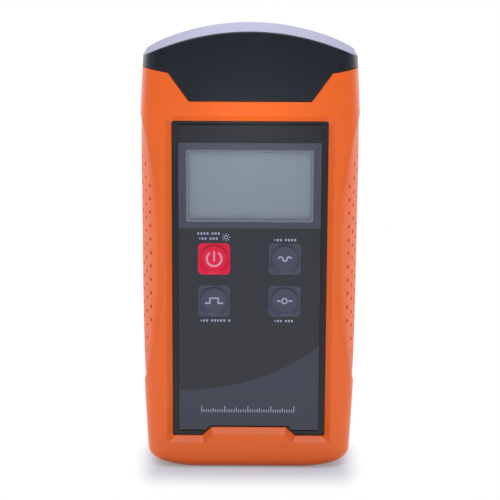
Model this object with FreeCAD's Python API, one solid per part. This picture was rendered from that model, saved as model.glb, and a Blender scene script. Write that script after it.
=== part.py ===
import FreeCAD, Part
import math
import os

from FreeCAD import Vector

# A hand-held optical power meter with a built-in laser source, standing on its base.
# Millimetres. X runs across the meter, -Y is the front, Z runs up from the foot.

# --- Outside form ---------------------------------------------------------------------------
case_height = 190.0           # foot to the crown of the dust cover
case_depth = 44.0             # flat back to flat front
case_half_width = 47.1        # at the widest level
widest_level = 117.0
side_radius_below = 2000.0    # the sides draw in towards the foot
side_radius_above = 900.0     # and faster towards the cover
edge_radius = 9.5             # the four long upright edges
foot_half_width = 22.0        # the flat that the meter stands on
foot_arc_radius = 55.0        # the base sweeps up from the flat to the sides
base_edge_radius = 4.0
dome_radius = 101.0           # the top of the dust cover, seen from the front
wall = 2.6                    # moulded case wall
split_level = 3.0             # parting plane of the two shells, behind mid-depth
seam_width = 0.5              # shadow line along the parting plane
seam_depth = 0.35

# --- Dust cover and its hinge ---------------------------------------------------------------
cover_height = 17.0           # crown down to the joint with the case
cover_wall = 2.2
cover_gap = 0.3               # all round, between cover and case
joint_slope = 0.175           # beside the tongue the joint climbs towards the sides
tongue_drop = 11.9            # the tongue reaches this far below the joint
tongue_top_half_width = 34.1
tongue_tip_half_width = 25.5
cover_top_edge_radius = 0.7
knuckle_radius = 2.2
knuckle_half_length = 20.0    # the whole hinge, from the middle
cover_knuckle_half_length = 9.8
hinge_offset = 1.4            # the axis stands this far behind the flat back
hinge_pin_radius = 0.8
hinge_pin_clearance = 0.05    # running fit in the cover's knuckle
hinge_web_height = 9.0

# --- Side grips -----------------------------------------------------------------------------
grip_reach = 10.7             # how far the grip runs in from the widest point
grip_level = 95.0             # middle of the grip
grip_arc_radius = 185.0       # the curved edge of the grip, seen from the front
grip_recess = 0.6             # the grip's side lies this far inside the case's
grip_band = 2.4               # sunk band of the case round each grip
grip_thickness = 1.8
grip_backing = 2.2            # case wall behind a grip
scoop_level = 92.4            # the scoop of the grips is deepest here
scoop_arc_radius = 360.0      # its hollow, seen from the side
scoop_start_angle = 20.0      # it leaves the front face at this angle
scoop_turn_angle = 60.0       # and turns from its small radius to its large one at this
scoop_small_radius = 12.0
scoop_side_stand = 0.1        # the large radius ends this far outside the grip's side
scoop_sweep = 40.0            # degrees that the scoop's cutter is turned through
dimple_radius = 0.85
dimple_floor_radius = 0.55
dimple_depth = 0.9
dimple_pitch = 5.87           # up a column
dimple_column_count = 10      # round the side
dimple_first = 7.55           # from the scoop's front edge to the first column
dimple_margin = 2.9           # inside the grip's curved edge
dimple_end_margin = 12.0      # from the grip's pointed ends, along a column
dimple_sides = 8

# --- Window, bezel plate and film -----------------------------------------------------------
window_half_width = 33.0
window_bottom = 14.2
window_top_margin = 8.7       # below the tongue's tip
window_bevel_side = 2.4       # bevel width on the front face
window_bevel_end = 2.6
window_bevel_depth = 2.4
window_lip = 0.7              # straight edge below the bevel
window_corner_radius = 1.0
window_bevel_corner_radius = 3.2
tab_foot_half_width = 20.1    # the raised tab in the window's lower edge
tab_top_half_width = 16.1
tab_height = 3.8
land_width = 4.0              # flat land behind the window's edge
plate_lap = 2.2               # the bezel plate laps the window's edge
plate_thickness = 1.6
pad_height = 0.5              # raised field that carries the film
film_thickness = 0.25
film_side_margin = 2.8        # plate left bare beside the film
film_top_margin = 1.7
film_bottom_margin = 2.6
film_tab_margin = 0.8
film_groove = 0.7             # shadow groove under the film's lower edge

# --- Display --------------------------------------------------------------------------------
display_top_margin = 12.3     # window's top edge to the display window
display_half_width = 27.0
display_height = 31.1
display_frame_side = 0.9      # printed border of the display window
display_frame_top = 1.2
display_frame_bottom = 0.7
display_window_thickness = 0.9
display_window_recess = 0.4
display_corner_radius = 0.8
display_fit = 0.05
glass_margin = 3.4            # the glass is larger than what shows
glass_thickness = 2.0
backlight_thickness = 2.2
backlight_margin = 1.0
holder_wall = 2.0
connector_height = 3.0        # elastomer strip between glass and board

# --- Keys -----------------------------------------------------------------------------------
key_column = 15.1
key_upper_drop = 15.9         # display window to the upper row
key_row_pitch = 18.5
key_radius = 7.05
key_clearance = 0.15
key_rim = 0.3
key_dish_width = 1.3
key_dish_depth = 0.6
key_flange = 1.0
key_flange_thickness = 0.7
key_flange_gap = 0.3
key_stem_radius = 2.4
key_stem_length = 0.4
key_travel = 0.6
switch_size = 6.0
switch_height = 3.2
switch_button_radius = 1.7
switch_button_height = 0.6
switch_gap = 0.1              # left between stem and button when the key is down

# --- Main board -----------------------------------------------------------------------------
board_standoff = 5.9          # behind the bezel plate
board_thickness = 1.6
board_half_width = 32.0
board_bottom = 20.0
board_top_margin = 2.4        # below the window's top edge
board_corner_radius = 2.0
board_screw_inset = 3.6
board_post_radius = 2.6
board_screw_radius = 1.0
board_screw_head_radius = 2.0
board_screw_head_height = 1.3
board_screw_length = 4.5      # into the post
screw_clearance = 0.2
thread_clearance = 0.03
rest_post_radius = 2.2        # posts of the rear shell that press on the board
chip_height = 1.4

# --- Case screws ----------------------------------------------------------------------------
boss_radius = 2.8
boss_gap = 1.3                # from the bezel plate to a boss
boss_lower_level = 24.0
boss_upper_drop = 13.0        # below the cover joint
case_screw_radius = 1.25
case_screw_head_radius = 2.4
case_screw_head_height = 1.8
case_screw_sink = 5.0         # depth of the head's seat, from the back
case_screw_length = 19.0
tower_wall = 1.2              # round the sunk head
tower_floor = 2.0             # under the head

# --- Batteries and their door ---------------------------------------------------------------
cell_radius = 7.25            # AA cells
cell_length = 50.5
cell_nipple_radius = 2.75
cell_nipple_height = 1.2
cell_pitch = 15.2
cell_count = 3
cell_clearance = 0.4
bay_bottom = 22.0
bay_wall = 1.6
contact_thickness = 0.6
contact_stud_height = 1.2
contact_spring_height = 3.2
contact_spring_radius = 4.2
door_thickness = 2.2
door_gap = 0.3
door_seat = 0.9               # door laps the bay's rim
door_corner_radius = 3.0
door_rib_count = 4
door_rib_height = 0.4
door_rib_width = 1.2
door_rib_pitch = 2.8
door_rib_half_length = 8.0
door_tab_half_width = 5.0
door_tab_thickness = 1.4
door_tab_reach = 3.0

# --- Optical ports --------------------------------------------------------------------------
port_column = 19.0            # ports lie this far either side of the middle
port_plate_drop = 2.7         # top of the port plate below the case's rim
port_plate_thickness = 2.4
ledge_width = 1.8
ledge_thickness = 2.0
apron_lap = 2.5               # the apron closes the notch behind the tongue
flange_half_width = 7.5
flange_thickness = 1.6
flange_corner_radius = 2.0
barrel_radius = 4.0           # FC thread, M8
barrel_height = 8.8
barrel_bore_radius = 3.0
sleeve_radius = 1.9
sleeve_recess = 1.0           # sleeve stops short of the barrel's mouth
ferrule_bore_radius = 1.25
ferrule_bore_length = 12.0
key_slot_width = 2.2
key_slot_depth = 4.4
tail_radius = 5.2
tail_length = 7.0
tail_clearance = 0.1
port_screw_offset = 5.3
port_screw_radius = 1.0
port_screw_head_radius = 1.7
port_screw_head_height = 1.0
port_screw_length = 3.2
detector_radius = 4.6
detector_length = 6.5
laser_radius = 3.6
laser_length = 14.0
lead_radius = 0.25
lead_length = 4.0
lead_offset = 1.3

# --- Levels worked out from the sizes above --------------------------------------------------
front = -case_depth / 2
back = case_depth / 2
joint_level = case_height - cover_height
rim_level = joint_level - cover_gap
tongue_level = joint_level - tongue_drop
window_top = tongue_level - window_top_margin
bevel_face = front + window_bevel_depth
land_face = bevel_face + window_lip
plate_back = land_face + plate_thickness
pad_face = land_face - pad_height
film_face = pad_face - film_thickness
board_front = plate_back + board_standoff
board_back = board_front + board_thickness
board_top = window_top - board_top_margin
display_top = window_top - display_top_margin
display_bottom = display_top - display_height
display_face = film_face + display_window_recess
display_back = display_face + display_window_thickness
glass_back = plate_back + glass_thickness
backlight_back = glass_back + backlight_thickness
key_rows = [display_bottom - key_upper_drop, display_bottom - key_upper_drop - key_row_pitch]
boss_column = window_half_width + plate_lap + boss_gap + boss_radius
boss_levels = [boss_lower_level, joint_level - boss_upper_drop]
hinge_y = back + hinge_offset
hinge_z = joint_level - cover_gap / 2
bay_half_width = cell_pitch * (cell_count - 1) / 2 + cell_radius + cell_clearance
bay_height = cell_length + 2 * contact_thickness + contact_spring_height + contact_stud_height
bay_top = bay_bottom + bay_height
door_inner_face = back - door_thickness
bay_rim = door_inner_face - door_gap
cell_y = bay_rim - cell_clearance - cell_radius
bay_floor = cell_y - cell_radius - cell_clearance
port_plate_top = rim_level - port_plate_drop
port_plate_bottom = port_plate_top - port_plate_thickness
flange_top = port_plate_top + flange_thickness
barrel_top = flange_top + barrel_height
tail_bottom = port_plate_top - tail_length


# --- Small makers ----------------------------------------------------------------------------
def block(x0, x1, y0, y1, z0, z1):
    """A box between two corners."""
    return Part.makeBox(x1 - x0, y1 - y0, z1 - z0, Vector(x0, y0, z0))


def rod_y(radius, x, z, y0, y1):
    """A cylinder that runs from front to back."""
    return Part.makeCylinder(radius, y1 - y0, Vector(x, y0, z), Vector(0, 1, 0))


def rod_z(radius, x, y, z0, z1):
    """An upright cylinder."""
    return Part.makeCylinder(radius, z1 - z0, Vector(x, y, z0), Vector(0, 0, 1))


def rod_x(radius, y, z, x0, x1):
    """A cylinder that runs across the meter."""
    return Part.makeCylinder(radius, x1 - x0, Vector(x0, y, z), Vector(1, 0, 0))


def front_polygon(points, y0, y1):
    """A prism from an outline in X and Z, between two depths."""
    corners = [Vector(x, y0, z) for x, z in points]
    outline = Part.makePolygon(corners + corners[:1])
    return Part.Face(outline).extrude(Vector(0, y1 - y0, 0))


def side_polygon(points, x0, x1):
    """A prism from an outline in Y and Z, across the meter."""
    corners = [Vector(x0, y, z) for y, z in points]
    outline = Part.makePolygon(corners + corners[:1])
    return Part.Face(outline).extrude(Vector(x1 - x0, 0, 0))


def rounded_block(x0, x1, y0, y1, z0, z1, radius):
    """A box whose four edges along Y are rounded."""
    body = block(x0, x1, y0, y1, z0, z1)
    edges = [e for e in body.Edges if e.BoundBox.YLength > 0.9 * (y1 - y0)]
    return body.makeFillet(radius, edges)


def mirrored(shape):
    """The same shape on the other side of the meter."""
    return shape.mirror(Vector(0, 0, 0), Vector(1, 0, 0))


def both_sides(shape):
    """A shape and its mirror image, as a list."""
    return [shape, mirrored(shape)]


def circle_meeting(centre_a, radius_a, centre_b, radius_b, pick_upper):
    """Where two circles in X and Z cross on the right, the upper or the lower crossing."""
    dx = centre_b[0] - centre_a[0]
    dz = centre_b[1] - centre_a[1]
    gap = math.hypot(dx, dz)
    along = (radius_a ** 2 - radius_b ** 2 + gap ** 2) / (2 * gap)
    across = math.sqrt(radius_a ** 2 - along ** 2)
    mid_x = centre_a[0] + along * dx / gap
    mid_z = centre_a[1] + along * dz / gap
    found = [
        (mid_x + across * dz / gap, mid_z - across * dx / gap),
        (mid_x - across * dz / gap, mid_z + across * dx / gap),
    ]
    found.sort(key=lambda point: point[1])
    return found[1] if pick_upper else found[0]


def arc_edge(start, end, centre, radius, y):
    """An arc in X and Z about a centre, by the short way from start to end."""
    mid_x = (start[0] + end[0]) / 2 - centre[0]
    mid_z = (start[1] + end[1]) / 2 - centre[1]
    reach = math.hypot(mid_x, mid_z)
    middle = Vector(centre[0] + radius * mid_x / reach, y, centre[1] + radius * mid_z / reach)
    return Part.Arc(Vector(start[0], y, start[1]), middle, Vector(end[0], y, end[1])).toShape()


def flip(point):
    """A point in X and Z, mirrored."""
    return (-point[0], point[1])


# --- Outside form ----------------------------------------------------------------------------
def envelope(inset):
    """The form of the whole meter, cover closed, with every face moved in by the inset."""
    below = (case_half_width - side_radius_below, widest_level)
    above = (case_half_width - side_radius_above, widest_level)
    foot = (foot_half_width, foot_arc_radius)
    dome = (0.0, case_height - dome_radius)
    r_below = side_radius_below - inset
    r_above = side_radius_above - inset
    r_foot = foot_arc_radius - inset
    r_dome = dome_radius - inset
    y = front + inset
    foot_end = (foot_half_width, inset)
    low = circle_meeting(foot, r_foot, below, r_below, False)
    wide = (case_half_width - inset, widest_level)
    high = circle_meeting(dome, r_dome, above, r_above, True)
    edges = [
        Part.LineSegment(Vector(-foot_half_width, y, inset), Vector(foot_half_width, y, inset)).toShape(),
        arc_edge(foot_end, low, foot, r_foot, y),
        arc_edge(low, wide, below, r_below, y),
        arc_edge(wide, high, above, r_above, y),
        Part.Arc(Vector(high[0], y, high[1]), Vector(0, y, case_height - inset),
                 Vector(-high[0], y, high[1])).toShape(),
        arc_edge(flip(high), flip(wide), flip(above), r_above, y),
        arc_edge(flip(wide), flip(low), flip(below), r_below, y),
        arc_edge(flip(low), flip(foot_end), flip(foot), r_foot, y),
    ]
    outline = Part.Face(Part.Wire(edges))
    body = outline.extrude(Vector(0, case_depth - 2 * inset, 0))
    upright = [e for e in body.Edges if e.BoundBox.ZLength > case_height / 5]
    body = body.makeFillet(edge_radius - inset, upright)
    if base_edge_radius - inset > seam_depth:
        body = body.makeFillet(base_edge_radius - inset, base_edges(body))
    return body


def base_edges(body):
    """The edges round the underside, without the lines where the flat meets its sweeps."""
    limit = foot_arc_radius / 5 + wall
    low = [e for e in body.Edges if e.BoundBox.ZMax < limit]
    return [e for e in low if not is_foot_line(e)]


def is_foot_line(edge):
    """True for a line along Y at the end of the foot's flat."""
    box = edge.BoundBox
    return box.XLength < seam_depth and abs(abs(box.Center.x) - foot_half_width) < seam_width


FORMS = {}


def form(inset):
    """The envelope at an inset, worked out once."""
    if inset not in FORMS:
        FORMS[inset] = envelope(inset)
    return FORMS[inset]


def slab(z0, z1, y0=-case_depth, y1=case_depth):
    """A region as wide as the meter between two levels."""
    return block(-case_half_width - wall, case_half_width + wall, y0, y1, z0, z1)


def above_joint(gap):
    """The region over the joint of case and cover, which climbs beside the tongue."""
    reach = case_half_width + wall
    middle = joint_level - gap
    side = middle + joint_slope * (reach - tongue_top_half_width)
    top = case_height + wall
    outline = [(-reach, side), (-tongue_top_half_width, middle), (tongue_top_half_width, middle),
               (reach, side), (reach, top), (-reach, top)]
    return front_polygon(outline, -case_depth, case_depth)


def tongue_outline(grow):
    """The tongue's outline in X and Z, grown on its sides and tip."""
    slope = (tongue_top_half_width - tongue_tip_half_width) / tongue_drop
    top = joint_level + wall
    tip = tongue_level - grow
    lean = grow * math.hypot(1, slope)
    at_top = tongue_tip_half_width + slope * (top - tongue_level) + lean
    at_tip = tongue_tip_half_width - slope * grow + lean
    return [(-at_tip, tip), (at_tip, tip), (at_top, top), (-at_top, top)]


def notch(grow):
    """What the tongue takes out of the front wall, with a gap all round it."""
    body = front_polygon(tongue_outline(grow), front - wall, front + 2 * wall)
    return body


def lens(shrink):
    """A prism through the case inside the right-hand grip's curved edge."""
    centre_x = case_half_width - grip_reach + grip_arc_radius
    body = rod_y(grip_arc_radius - shrink, centre_x, grip_level, -case_depth, case_depth)
    keep = block(0, case_half_width + wall, -case_depth, case_depth, 0, rim_level)
    return body.common(keep)


# --- Case shells -----------------------------------------------------------------------------
def side_draw_in(level):
    """How far the side lies inside its widest point at a level."""
    radius = side_radius_above if level > widest_level else side_radius_below
    rise = level - widest_level
    return radius - math.sqrt(radius ** 2 - rise ** 2)


def scoop_profile():
    """The two arcs of the scoop in plan: small centre, large centre and large radius.

    Depths count inwards from the flat face that the scoop starts on.
    """
    start = math.radians(scoop_start_angle)
    turn = math.radians(scoop_turn_angle)
    small_x = case_half_width - grip_reach - scoop_small_radius * math.sin(start)
    small_in = scoop_small_radius * math.cos(start)
    end_x = case_half_width - side_draw_in(scoop_level) - grip_recess + scoop_side_stand
    turn_x = small_x + scoop_small_radius * math.sin(turn)
    large = (end_x - turn_x) / (1 - math.sin(turn))
    large_x = end_x - large
    large_in = small_in + (large - scoop_small_radius) * math.cos(turn)
    return (small_x, small_in), (large_x, large_in), large


def scoop(depth, face, way):
    """What is cut away to leave the grip's rounded side, sunk by a depth, at the front or back.

    The face's Y and the way into the case from it, 1 or -1, say which.
    """
    small, large_centre, large = scoop_profile()
    turn = math.radians(scoop_turn_angle)
    axis = -scoop_arc_radius

    def at(centre, radius, angle):
        """A point of an arc, by its angle from the line into the case."""
        x = centre[0] + radius * math.sin(angle)
        inward = centre[1] - radius * math.cos(angle)
        return Vector(x, face + way * inward, scoop_level)

    r_small = scoop_small_radius - depth
    r_large = large - depth
    begin = at(small, r_small, 0)
    middle = at(small, r_small, turn / 2)
    meet = at(small, r_small, turn)
    later = at(large_centre, r_large, (turn + math.pi / 2) / 2)
    end = at(large_centre, r_large, math.pi / 2)
    axis_y = face + way * axis
    far_x = case_half_width + 2 * wall
    near = Vector(begin.x, axis_y, scoop_level)
    outer = Vector(far_x, end.y, scoop_level)
    far = Vector(far_x, axis_y, scoop_level)
    edges = [
        Part.LineSegment(near, begin).toShape(),
        Part.Arc(begin, middle, meet).toShape(),
        Part.Arc(meet, later, end).toShape(),
        Part.LineSegment(end, outer).toShape(),
        Part.LineSegment(outer, far).toShape(),
        Part.LineSegment(far, near).toShape(),
    ]
    section = Part.Face(Part.Wire(edges))
    section.rotate(Vector(0, axis_y, scoop_level), Vector(1, 0, 0), -way * scoop_sweep / 2)
    return section.revolve(Vector(0, axis_y, scoop_level), Vector(1, 0, 0), way * scoop_sweep)


GRIP_FORMS = {}


def grip_form(depth):
    """The right-hand grip's outer form, or the same sunk by a depth, worked out once."""
    if depth not in GRIP_FORMS:
        body = form(depth).common(block(0, case_half_width, front, back, 0, case_height))
        body.translate(Vector(-grip_recess, 0, 0))
        body = body.cut(scoop(depth, front, 1))
        GRIP_FORMS[depth] = body.cut(scoop(depth, back, -1))
    return GRIP_FORMS[depth]


def case_cavity():
    """The hollow of the two shells, with thicker wall left behind the grips."""
    hollow = form(wall).common(slab(0, case_height, front, back))
    behind = lens(-wall).cut(grip_form(grip_thickness + grip_backing))
    for side in both_sides(behind):
        hollow = hollow.cut(side)
    return hollow


def case_blank():
    """Both shells as one piece, before it is parted: outside, grip pockets and hollow."""
    body = form(0.0).cut(above_joint(cover_gap))
    body = body.cut(notch(cover_gap))
    for shrink, depth in ((0.0, 0.0), (grip_band, grip_thickness)):
        sunk = form(0.0).common(lens(shrink)).cut(grip_form(depth))
        for side in both_sides(sunk):
            body = body.cut(side)
    body = body.cut(case_cavity())
    ring = form(wall).cut(form(wall + ledge_width))
    ring = ring.common(slab(port_plate_bottom - ledge_thickness, port_plate_bottom, front / 2))
    body = body.fuse(ring)
    seam = form(0.0).cut(form(seam_depth))
    seam = seam.common(slab(0, case_height, split_level - seam_width / 2, split_level + seam_width / 2))
    return body.cut(seam).removeSplitter()


def window_outline(grow_side, grow_end):
    """The window's edge in X and Z, with the raised tab at its foot."""
    half = window_half_width + grow_side
    bottom = window_bottom - grow_end
    tab_top = window_bottom + tab_height - grow_end
    foot_x = tab_foot_half_width - grow_end / 3
    top_x = tab_top_half_width - grow_end / 12
    top = window_top + grow_end
    return [(-half, bottom), (-foot_x, bottom), (-top_x, tab_top), (top_x, tab_top),
            (foot_x, bottom), (half, bottom), (half, top), (-half, top)]


def window_cutter():
    """The bevelled window opening, from before the front face to behind the land."""
    over = (window_bevel_depth + 1) / window_bevel_depth
    outer = window_outline(window_bevel_side * over, window_bevel_end * over)
    inner = window_outline(0, 0)
    outer_points = [Vector(x, front - 1, z) for x, z in outer]
    inner_points = [Vector(x, bevel_face, z) for x, z in inner]
    wires = [Part.makePolygon(p + p[:1]) for p in (outer_points, inner_points)]
    bevel = Part.makeLoft(wires, True, True)
    mitres = [e for e in bevel.Edges if is_window_corner(e)]
    bevel = bevel.makeFillet(window_corner_radius, window_bevel_corner_radius, mitres)
    lip = front_polygon(inner, bevel_face - seam_depth, land_face + 1)
    corners = [e for e in lip.Edges if is_window_corner(e)]
    lip = lip.makeFillet(window_corner_radius, corners)
    return bevel.fuse(lip)


def is_window_corner(edge):
    """True for an edge into the case at one of the window's four outer corners."""
    box = edge.BoundBox
    return box.YLength > window_lip / 2 and abs(box.Center.x) > (window_half_width + tab_foot_half_width) / 2


def case_front_features(body):
    """Land, plate pocket and window of the front shell."""
    half = window_half_width + land_width
    low = window_bottom - land_width
    high = window_top + land_width
    land = form(seam_depth).common(block(-half, half, front, land_face, low, high))
    body = body.fuse(land)
    x_fit = window_half_width + plate_lap + display_fit
    z_low = window_bottom - plate_lap - display_fit
    z_high = window_top + plate_lap + display_fit
    body = body.cut(block(-x_fit, x_fit, land_face, front + 2 * wall, z_low, z_high))
    return body.cut(window_cutter())


def boss_places():
    """Centres of the four case screws in X and Z."""
    return [(side * boss_column, level) for level in boss_levels for side in (-1, 1)]


def make_front_shell(blank):
    """Front half: bevelled window and the bosses that the case screws cut into."""
    body = blank.common(slab(0, case_height, -case_depth, split_level))
    body = case_front_features(body)
    for x, z in boss_places():
        boss = rod_y(boss_radius, x, z, front + wall / 2, split_level)
        body = body.fuse(boss.common(form(wall / 2)))
        tip = back - case_screw_sink - case_screw_length - thread_clearance
        body = body.cut(rod_y(case_screw_radius + thread_clearance, x, z, tip, split_level))
    return body.removeSplitter()


def door_opening():
    """The opening for the battery door in the flat back."""
    half = bay_half_width + door_seat
    return rounded_block(-half, half, bay_rim, back + wall, bay_bottom - door_seat,
                         bay_top + door_seat, door_corner_radius)


def bay_block(grow, y0, y1):
    """A block the size of the battery bay, grown on its four sides."""
    half = bay_half_width + grow
    return block(-half, half, y0, y1, bay_bottom - grow, bay_top + grow)


def rest_post_places():
    """Posts that hold the board against the bezel plate, in X and Z."""
    column = board_half_width - rest_post_radius
    middle = (board_bottom + board_top) / 2
    return [(side * column, level) for level in (middle, bay_top + bay_wall * 2) for side in (-1, 1)]


def hinge_web(direction, height):
    """Profile in Y and Z of the web from the case or cover out to a knuckle."""
    root = back - seam_depth
    near = hinge_z + direction * cover_gap / 2
    return [
        (root, near),
        (hinge_y, near),
        (hinge_y + knuckle_radius * 0.8, hinge_z + direction * knuckle_radius * 0.6),
        (root, hinge_z + direction * height),
    ]


def make_rear_shell(blank):
    """Rear half: battery bay, screw sinks, posts and the two outer hinge knuckles."""
    body = blank.common(slab(0, case_height, split_level, case_depth))
    body = body.fuse(bay_block(bay_wall, bay_floor - bay_wall, back - seam_depth))
    body = body.cut(bay_block(0, bay_floor, back + wall))
    for x, z in rest_post_places():
        body = body.fuse(rod_y(rest_post_radius, x, z, board_back, back - wall / 2))
    body = body.cut(door_opening())
    seat = back - case_screw_sink
    head_hole = case_screw_head_radius + screw_clearance
    for x, z in boss_places():
        tower = rod_y(boss_radius, x, z, split_level, back - wall / 2)
        tower = tower.fuse(rod_y(head_hole + tower_wall, x, z, seat - tower_floor, back - wall / 2))
        body = body.fuse(tower.common(form(wall / 2)))
        body = body.cut(rod_y(head_hole, x, z, seat, back + wall))
        body = body.cut(rod_y(case_screw_radius + screw_clearance, x, z, split_level, back))
    start = cover_knuckle_half_length + cover_gap
    for side in (-1, 1):
        x0 = min(side * start, side * knuckle_half_length)
        x1 = max(side * start, side * knuckle_half_length)
        body = body.fuse(rod_x(knuckle_radius, hinge_y, hinge_z, x0, x1))
        body = body.fuse(side_polygon(hinge_web(-1, hinge_web_height), x0, x1))
    relief = rod_x(knuckle_radius + cover_gap, hinge_y, hinge_z, -start, start)
    body = body.cut(relief)
    bore = rod_x(hinge_pin_radius + thread_clearance, hinge_y, hinge_z,
                 -knuckle_half_length - 1, knuckle_half_length + 1)
    return body.cut(bore).removeSplitter()


# --- Grips -----------------------------------------------------------------------------------
def grip_path():
    """The way round the right-hand grip at the scoop's level, from its front edge to its back one.

    Gives a function from a distance to a point and its outward direction, and the whole length.
    """
    small, large_centre, large = scoop_profile()
    start = math.radians(scoop_start_angle)
    turn = math.radians(scoop_turn_angle)
    side_x = case_half_width - side_draw_in(scoop_level) - grip_recess
    finish = math.asin((side_x - large_centre[0]) / large)
    small_length = scoop_small_radius * (turn - start)
    large_length = large * (finish - turn)
    end_in = large_centre[1] - large * math.cos(finish)
    side_length = case_depth - 2 * end_in
    total = 2 * (small_length + large_length) + side_length

    def at(distance):
        """Point and outward direction, with the back half the mirror image of the front half."""
        way = 1
        if distance > total / 2:
            distance = total - distance
            way = -1
        if distance <= small_length:
            centre, radius = small, scoop_small_radius
            angle = start + distance / scoop_small_radius
        elif distance <= small_length + large_length:
            centre, radius = large_centre, large
            angle = turn + (distance - small_length) / large
        else:
            inward = end_in + distance - small_length - large_length
            return Vector(side_x, way * (front + inward), 0), Vector(1, 0, 0)
        x = centre[0] + radius * math.sin(angle)
        inward = centre[1] - radius * math.cos(angle)
        out = Vector(math.sin(angle), -way * math.cos(angle), 0)
        return Vector(x, way * (front + inward), 0), out

    return at, total


def dimple(point, out):
    """A blind pit with flat tapered sides and a flat floor, sunk along the surface's normal."""
    across = Vector(-out.y, out.x, 0)
    up = Vector(0, 0, 1)
    over = dimple_depth / 3
    taper = (dimple_radius - dimple_floor_radius) / dimple_depth

    def ring(level):
        size = dimple_radius + taper * level
        corners = []
        for step in range(dimple_sides):
            angle = 2 * math.pi * step / dimple_sides
            corners.append(point + out * level + across * (size * math.cos(angle))
                           + up * (size * math.sin(angle)))
        return corners

    rim = ring(over)
    floor = ring(-dimple_depth)
    faces = [Part.Face(Part.makePolygon(rim + rim[:1])), Part.Face(Part.makePolygon(floor + floor[:1]))]
    for step in range(dimple_sides):
        after = (step + 1) % dimple_sides
        corners = [rim[step], rim[after], floor[after], floor[step], rim[step]]
        faces.append(Part.Face(Part.makePolygon(corners)))
    return Part.makeSolid(Part.makeShell(faces))


def dimple_place(station, out, level):
    """A station of the grip's path taken to a level and set on the grip's surface."""
    rise = level - scoop_level
    swell = scoop_arc_radius - math.sqrt(scoop_arc_radius ** 2 - rise ** 2)
    draw = side_draw_in(level) - side_draw_in(scoop_level)
    turned = max(-1.0, min(1.0, out.y * 2))
    near = Vector(station.x - draw, station.y + turned * swell, level)
    probe = Part.makeLine(near - out * wall, near + out * wall)
    inside = grip_form(0.0).common(probe)
    return max((v.Point for v in inside.Vertexes), key=lambda point: point.dot(out))


def dimple_field():
    """All dimples of the right-hand grip, in staggered columns round the side."""
    at, total = grip_path()
    column_pitch = (total - 2 * dimple_first) / (dimple_column_count - 1)
    centre_x = case_half_width - grip_reach + grip_arc_radius
    clear = grip_arc_radius - dimple_margin
    tip_half = math.sqrt(grip_arc_radius ** 2 - (grip_arc_radius - grip_reach) ** 2)
    limit = tip_half - dimple_end_margin
    rows = int(limit // dimple_pitch) + 1
    pits = []
    for column in range(dimple_column_count):
        shift = 0.0 if column % 2 else dimple_pitch / 2
        station, out = at(dimple_first + column * column_pitch)
        for row in range(-rows, rows + 1):
            rise = row * dimple_pitch + shift
            point = dimple_place(station, out, scoop_level + rise)
            inside = math.hypot(point.x - centre_x, rise) < clear
            if inside and abs(rise) < limit:
                pits.append(dimple(point, out))
    return pits


def make_grip():
    """Soft pad for the right-hand side, wrapped from front to back."""
    pad = grip_form(0.0).common(lens(grip_band)).cut(grip_form(grip_thickness))
    return pad.cut(Part.makeCompound(dimple_field()))


# --- Bezel plate, film and display -----------------------------------------------------------
def film_outline():
    """The film's edge in X and Z, stepped over the window's tab."""
    half = window_half_width - film_side_margin
    top = window_top - film_top_margin
    bottom = window_bottom + film_bottom_margin
    over_tab = window_bottom + tab_height + film_tab_margin
    lean = (tab_foot_half_width - tab_top_half_width) / tab_height
    tab_x = tab_top_half_width + film_tab_margin
    foot_x = tab_x + lean * (over_tab - bottom)
    return [(-half, bottom), (-foot_x, bottom), (-tab_x, over_tab), (tab_x, over_tab),
            (foot_x, bottom), (half, bottom), (half, top), (-half, top)]


def key_places():
    """Key centres in X and Z by name, the power key first."""
    return {
        "power_key": (-key_column, key_rows[0]),
        "wavelength_key": (key_column, key_rows[0]),
        "mode_key": (-key_column, key_rows[1]),
        "reference_key": (key_column, key_rows[1]),
    }


def key_holes(y0, y1):
    """Clear holes for the keys between two depths."""
    radius = key_radius + key_clearance
    return [rod_y(radius, x, z, y0, y1) for x, z in key_places().values()]


def display_block(grow, y0, y1):
    """A rounded block over the display window, grown all round."""
    half = display_half_width + grow
    return rounded_block(-half, half, y0, y1, display_bottom - grow, display_top + grow,
                         display_corner_radius)


def board_screw_places():
    """Centres of the four board screws in X and Z."""
    column = board_half_width - board_screw_inset
    levels = (board_bottom + board_screw_inset, board_top - board_screw_inset + rest_post_radius)
    return [(side * column, level) for level in levels for side in (-1, 1)]


def make_bezel_plate():
    """Black plate behind the window, with the film's raised field and the board's posts."""
    half = window_half_width + plate_lap
    plate = block(-half, half, land_face, plate_back, window_bottom - plate_lap, window_top + plate_lap)
    plate = plate.fuse(front_polygon(film_outline(), pad_face, plate_back))
    for x, z in board_screw_places():
        plate = plate.fuse(rod_y(board_post_radius, x, z, plate_back - wall / 2, board_front))
        tip = board_front - board_screw_length - thread_clearance
        plate = plate.cut(rod_y(board_screw_radius + thread_clearance, x, z, tip, board_front))
    plate = plate.cut(display_block(display_fit, pad_face - 1, display_back))
    show_half = display_half_width - display_frame_side
    plate = plate.cut(block(-show_half, show_half, pad_face - 1, plate_back + 1,
                            display_bottom + display_frame_bottom, display_top - display_frame_top))
    for hole in key_holes(pad_face - 1, plate_back + 1):
        plate = plate.cut(hole)
    foot_x = film_outline()[4][0]
    bottom = window_bottom + film_bottom_margin
    film_half = window_half_width - film_side_margin
    groove = block(foot_x, film_half, land_face - 1, land_face + film_groove, bottom - film_groove, bottom)
    for side in both_sides(groove):
        plate = plate.cut(side)
    return plate.removeSplitter()


def make_panel_film():
    """Printed overlay on the raised field."""
    film = front_polygon(film_outline(), film_face, pad_face)
    film = film.cut(display_block(display_fit, film_face - 1, pad_face + 1))
    for hole in key_holes(film_face - 1, pad_face + 1):
        film = film.cut(hole)
    return film


def make_display_window():
    """Clear window with a printed border, let into the bezel plate."""
    return display_block(0.0, display_face, display_back)


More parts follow.
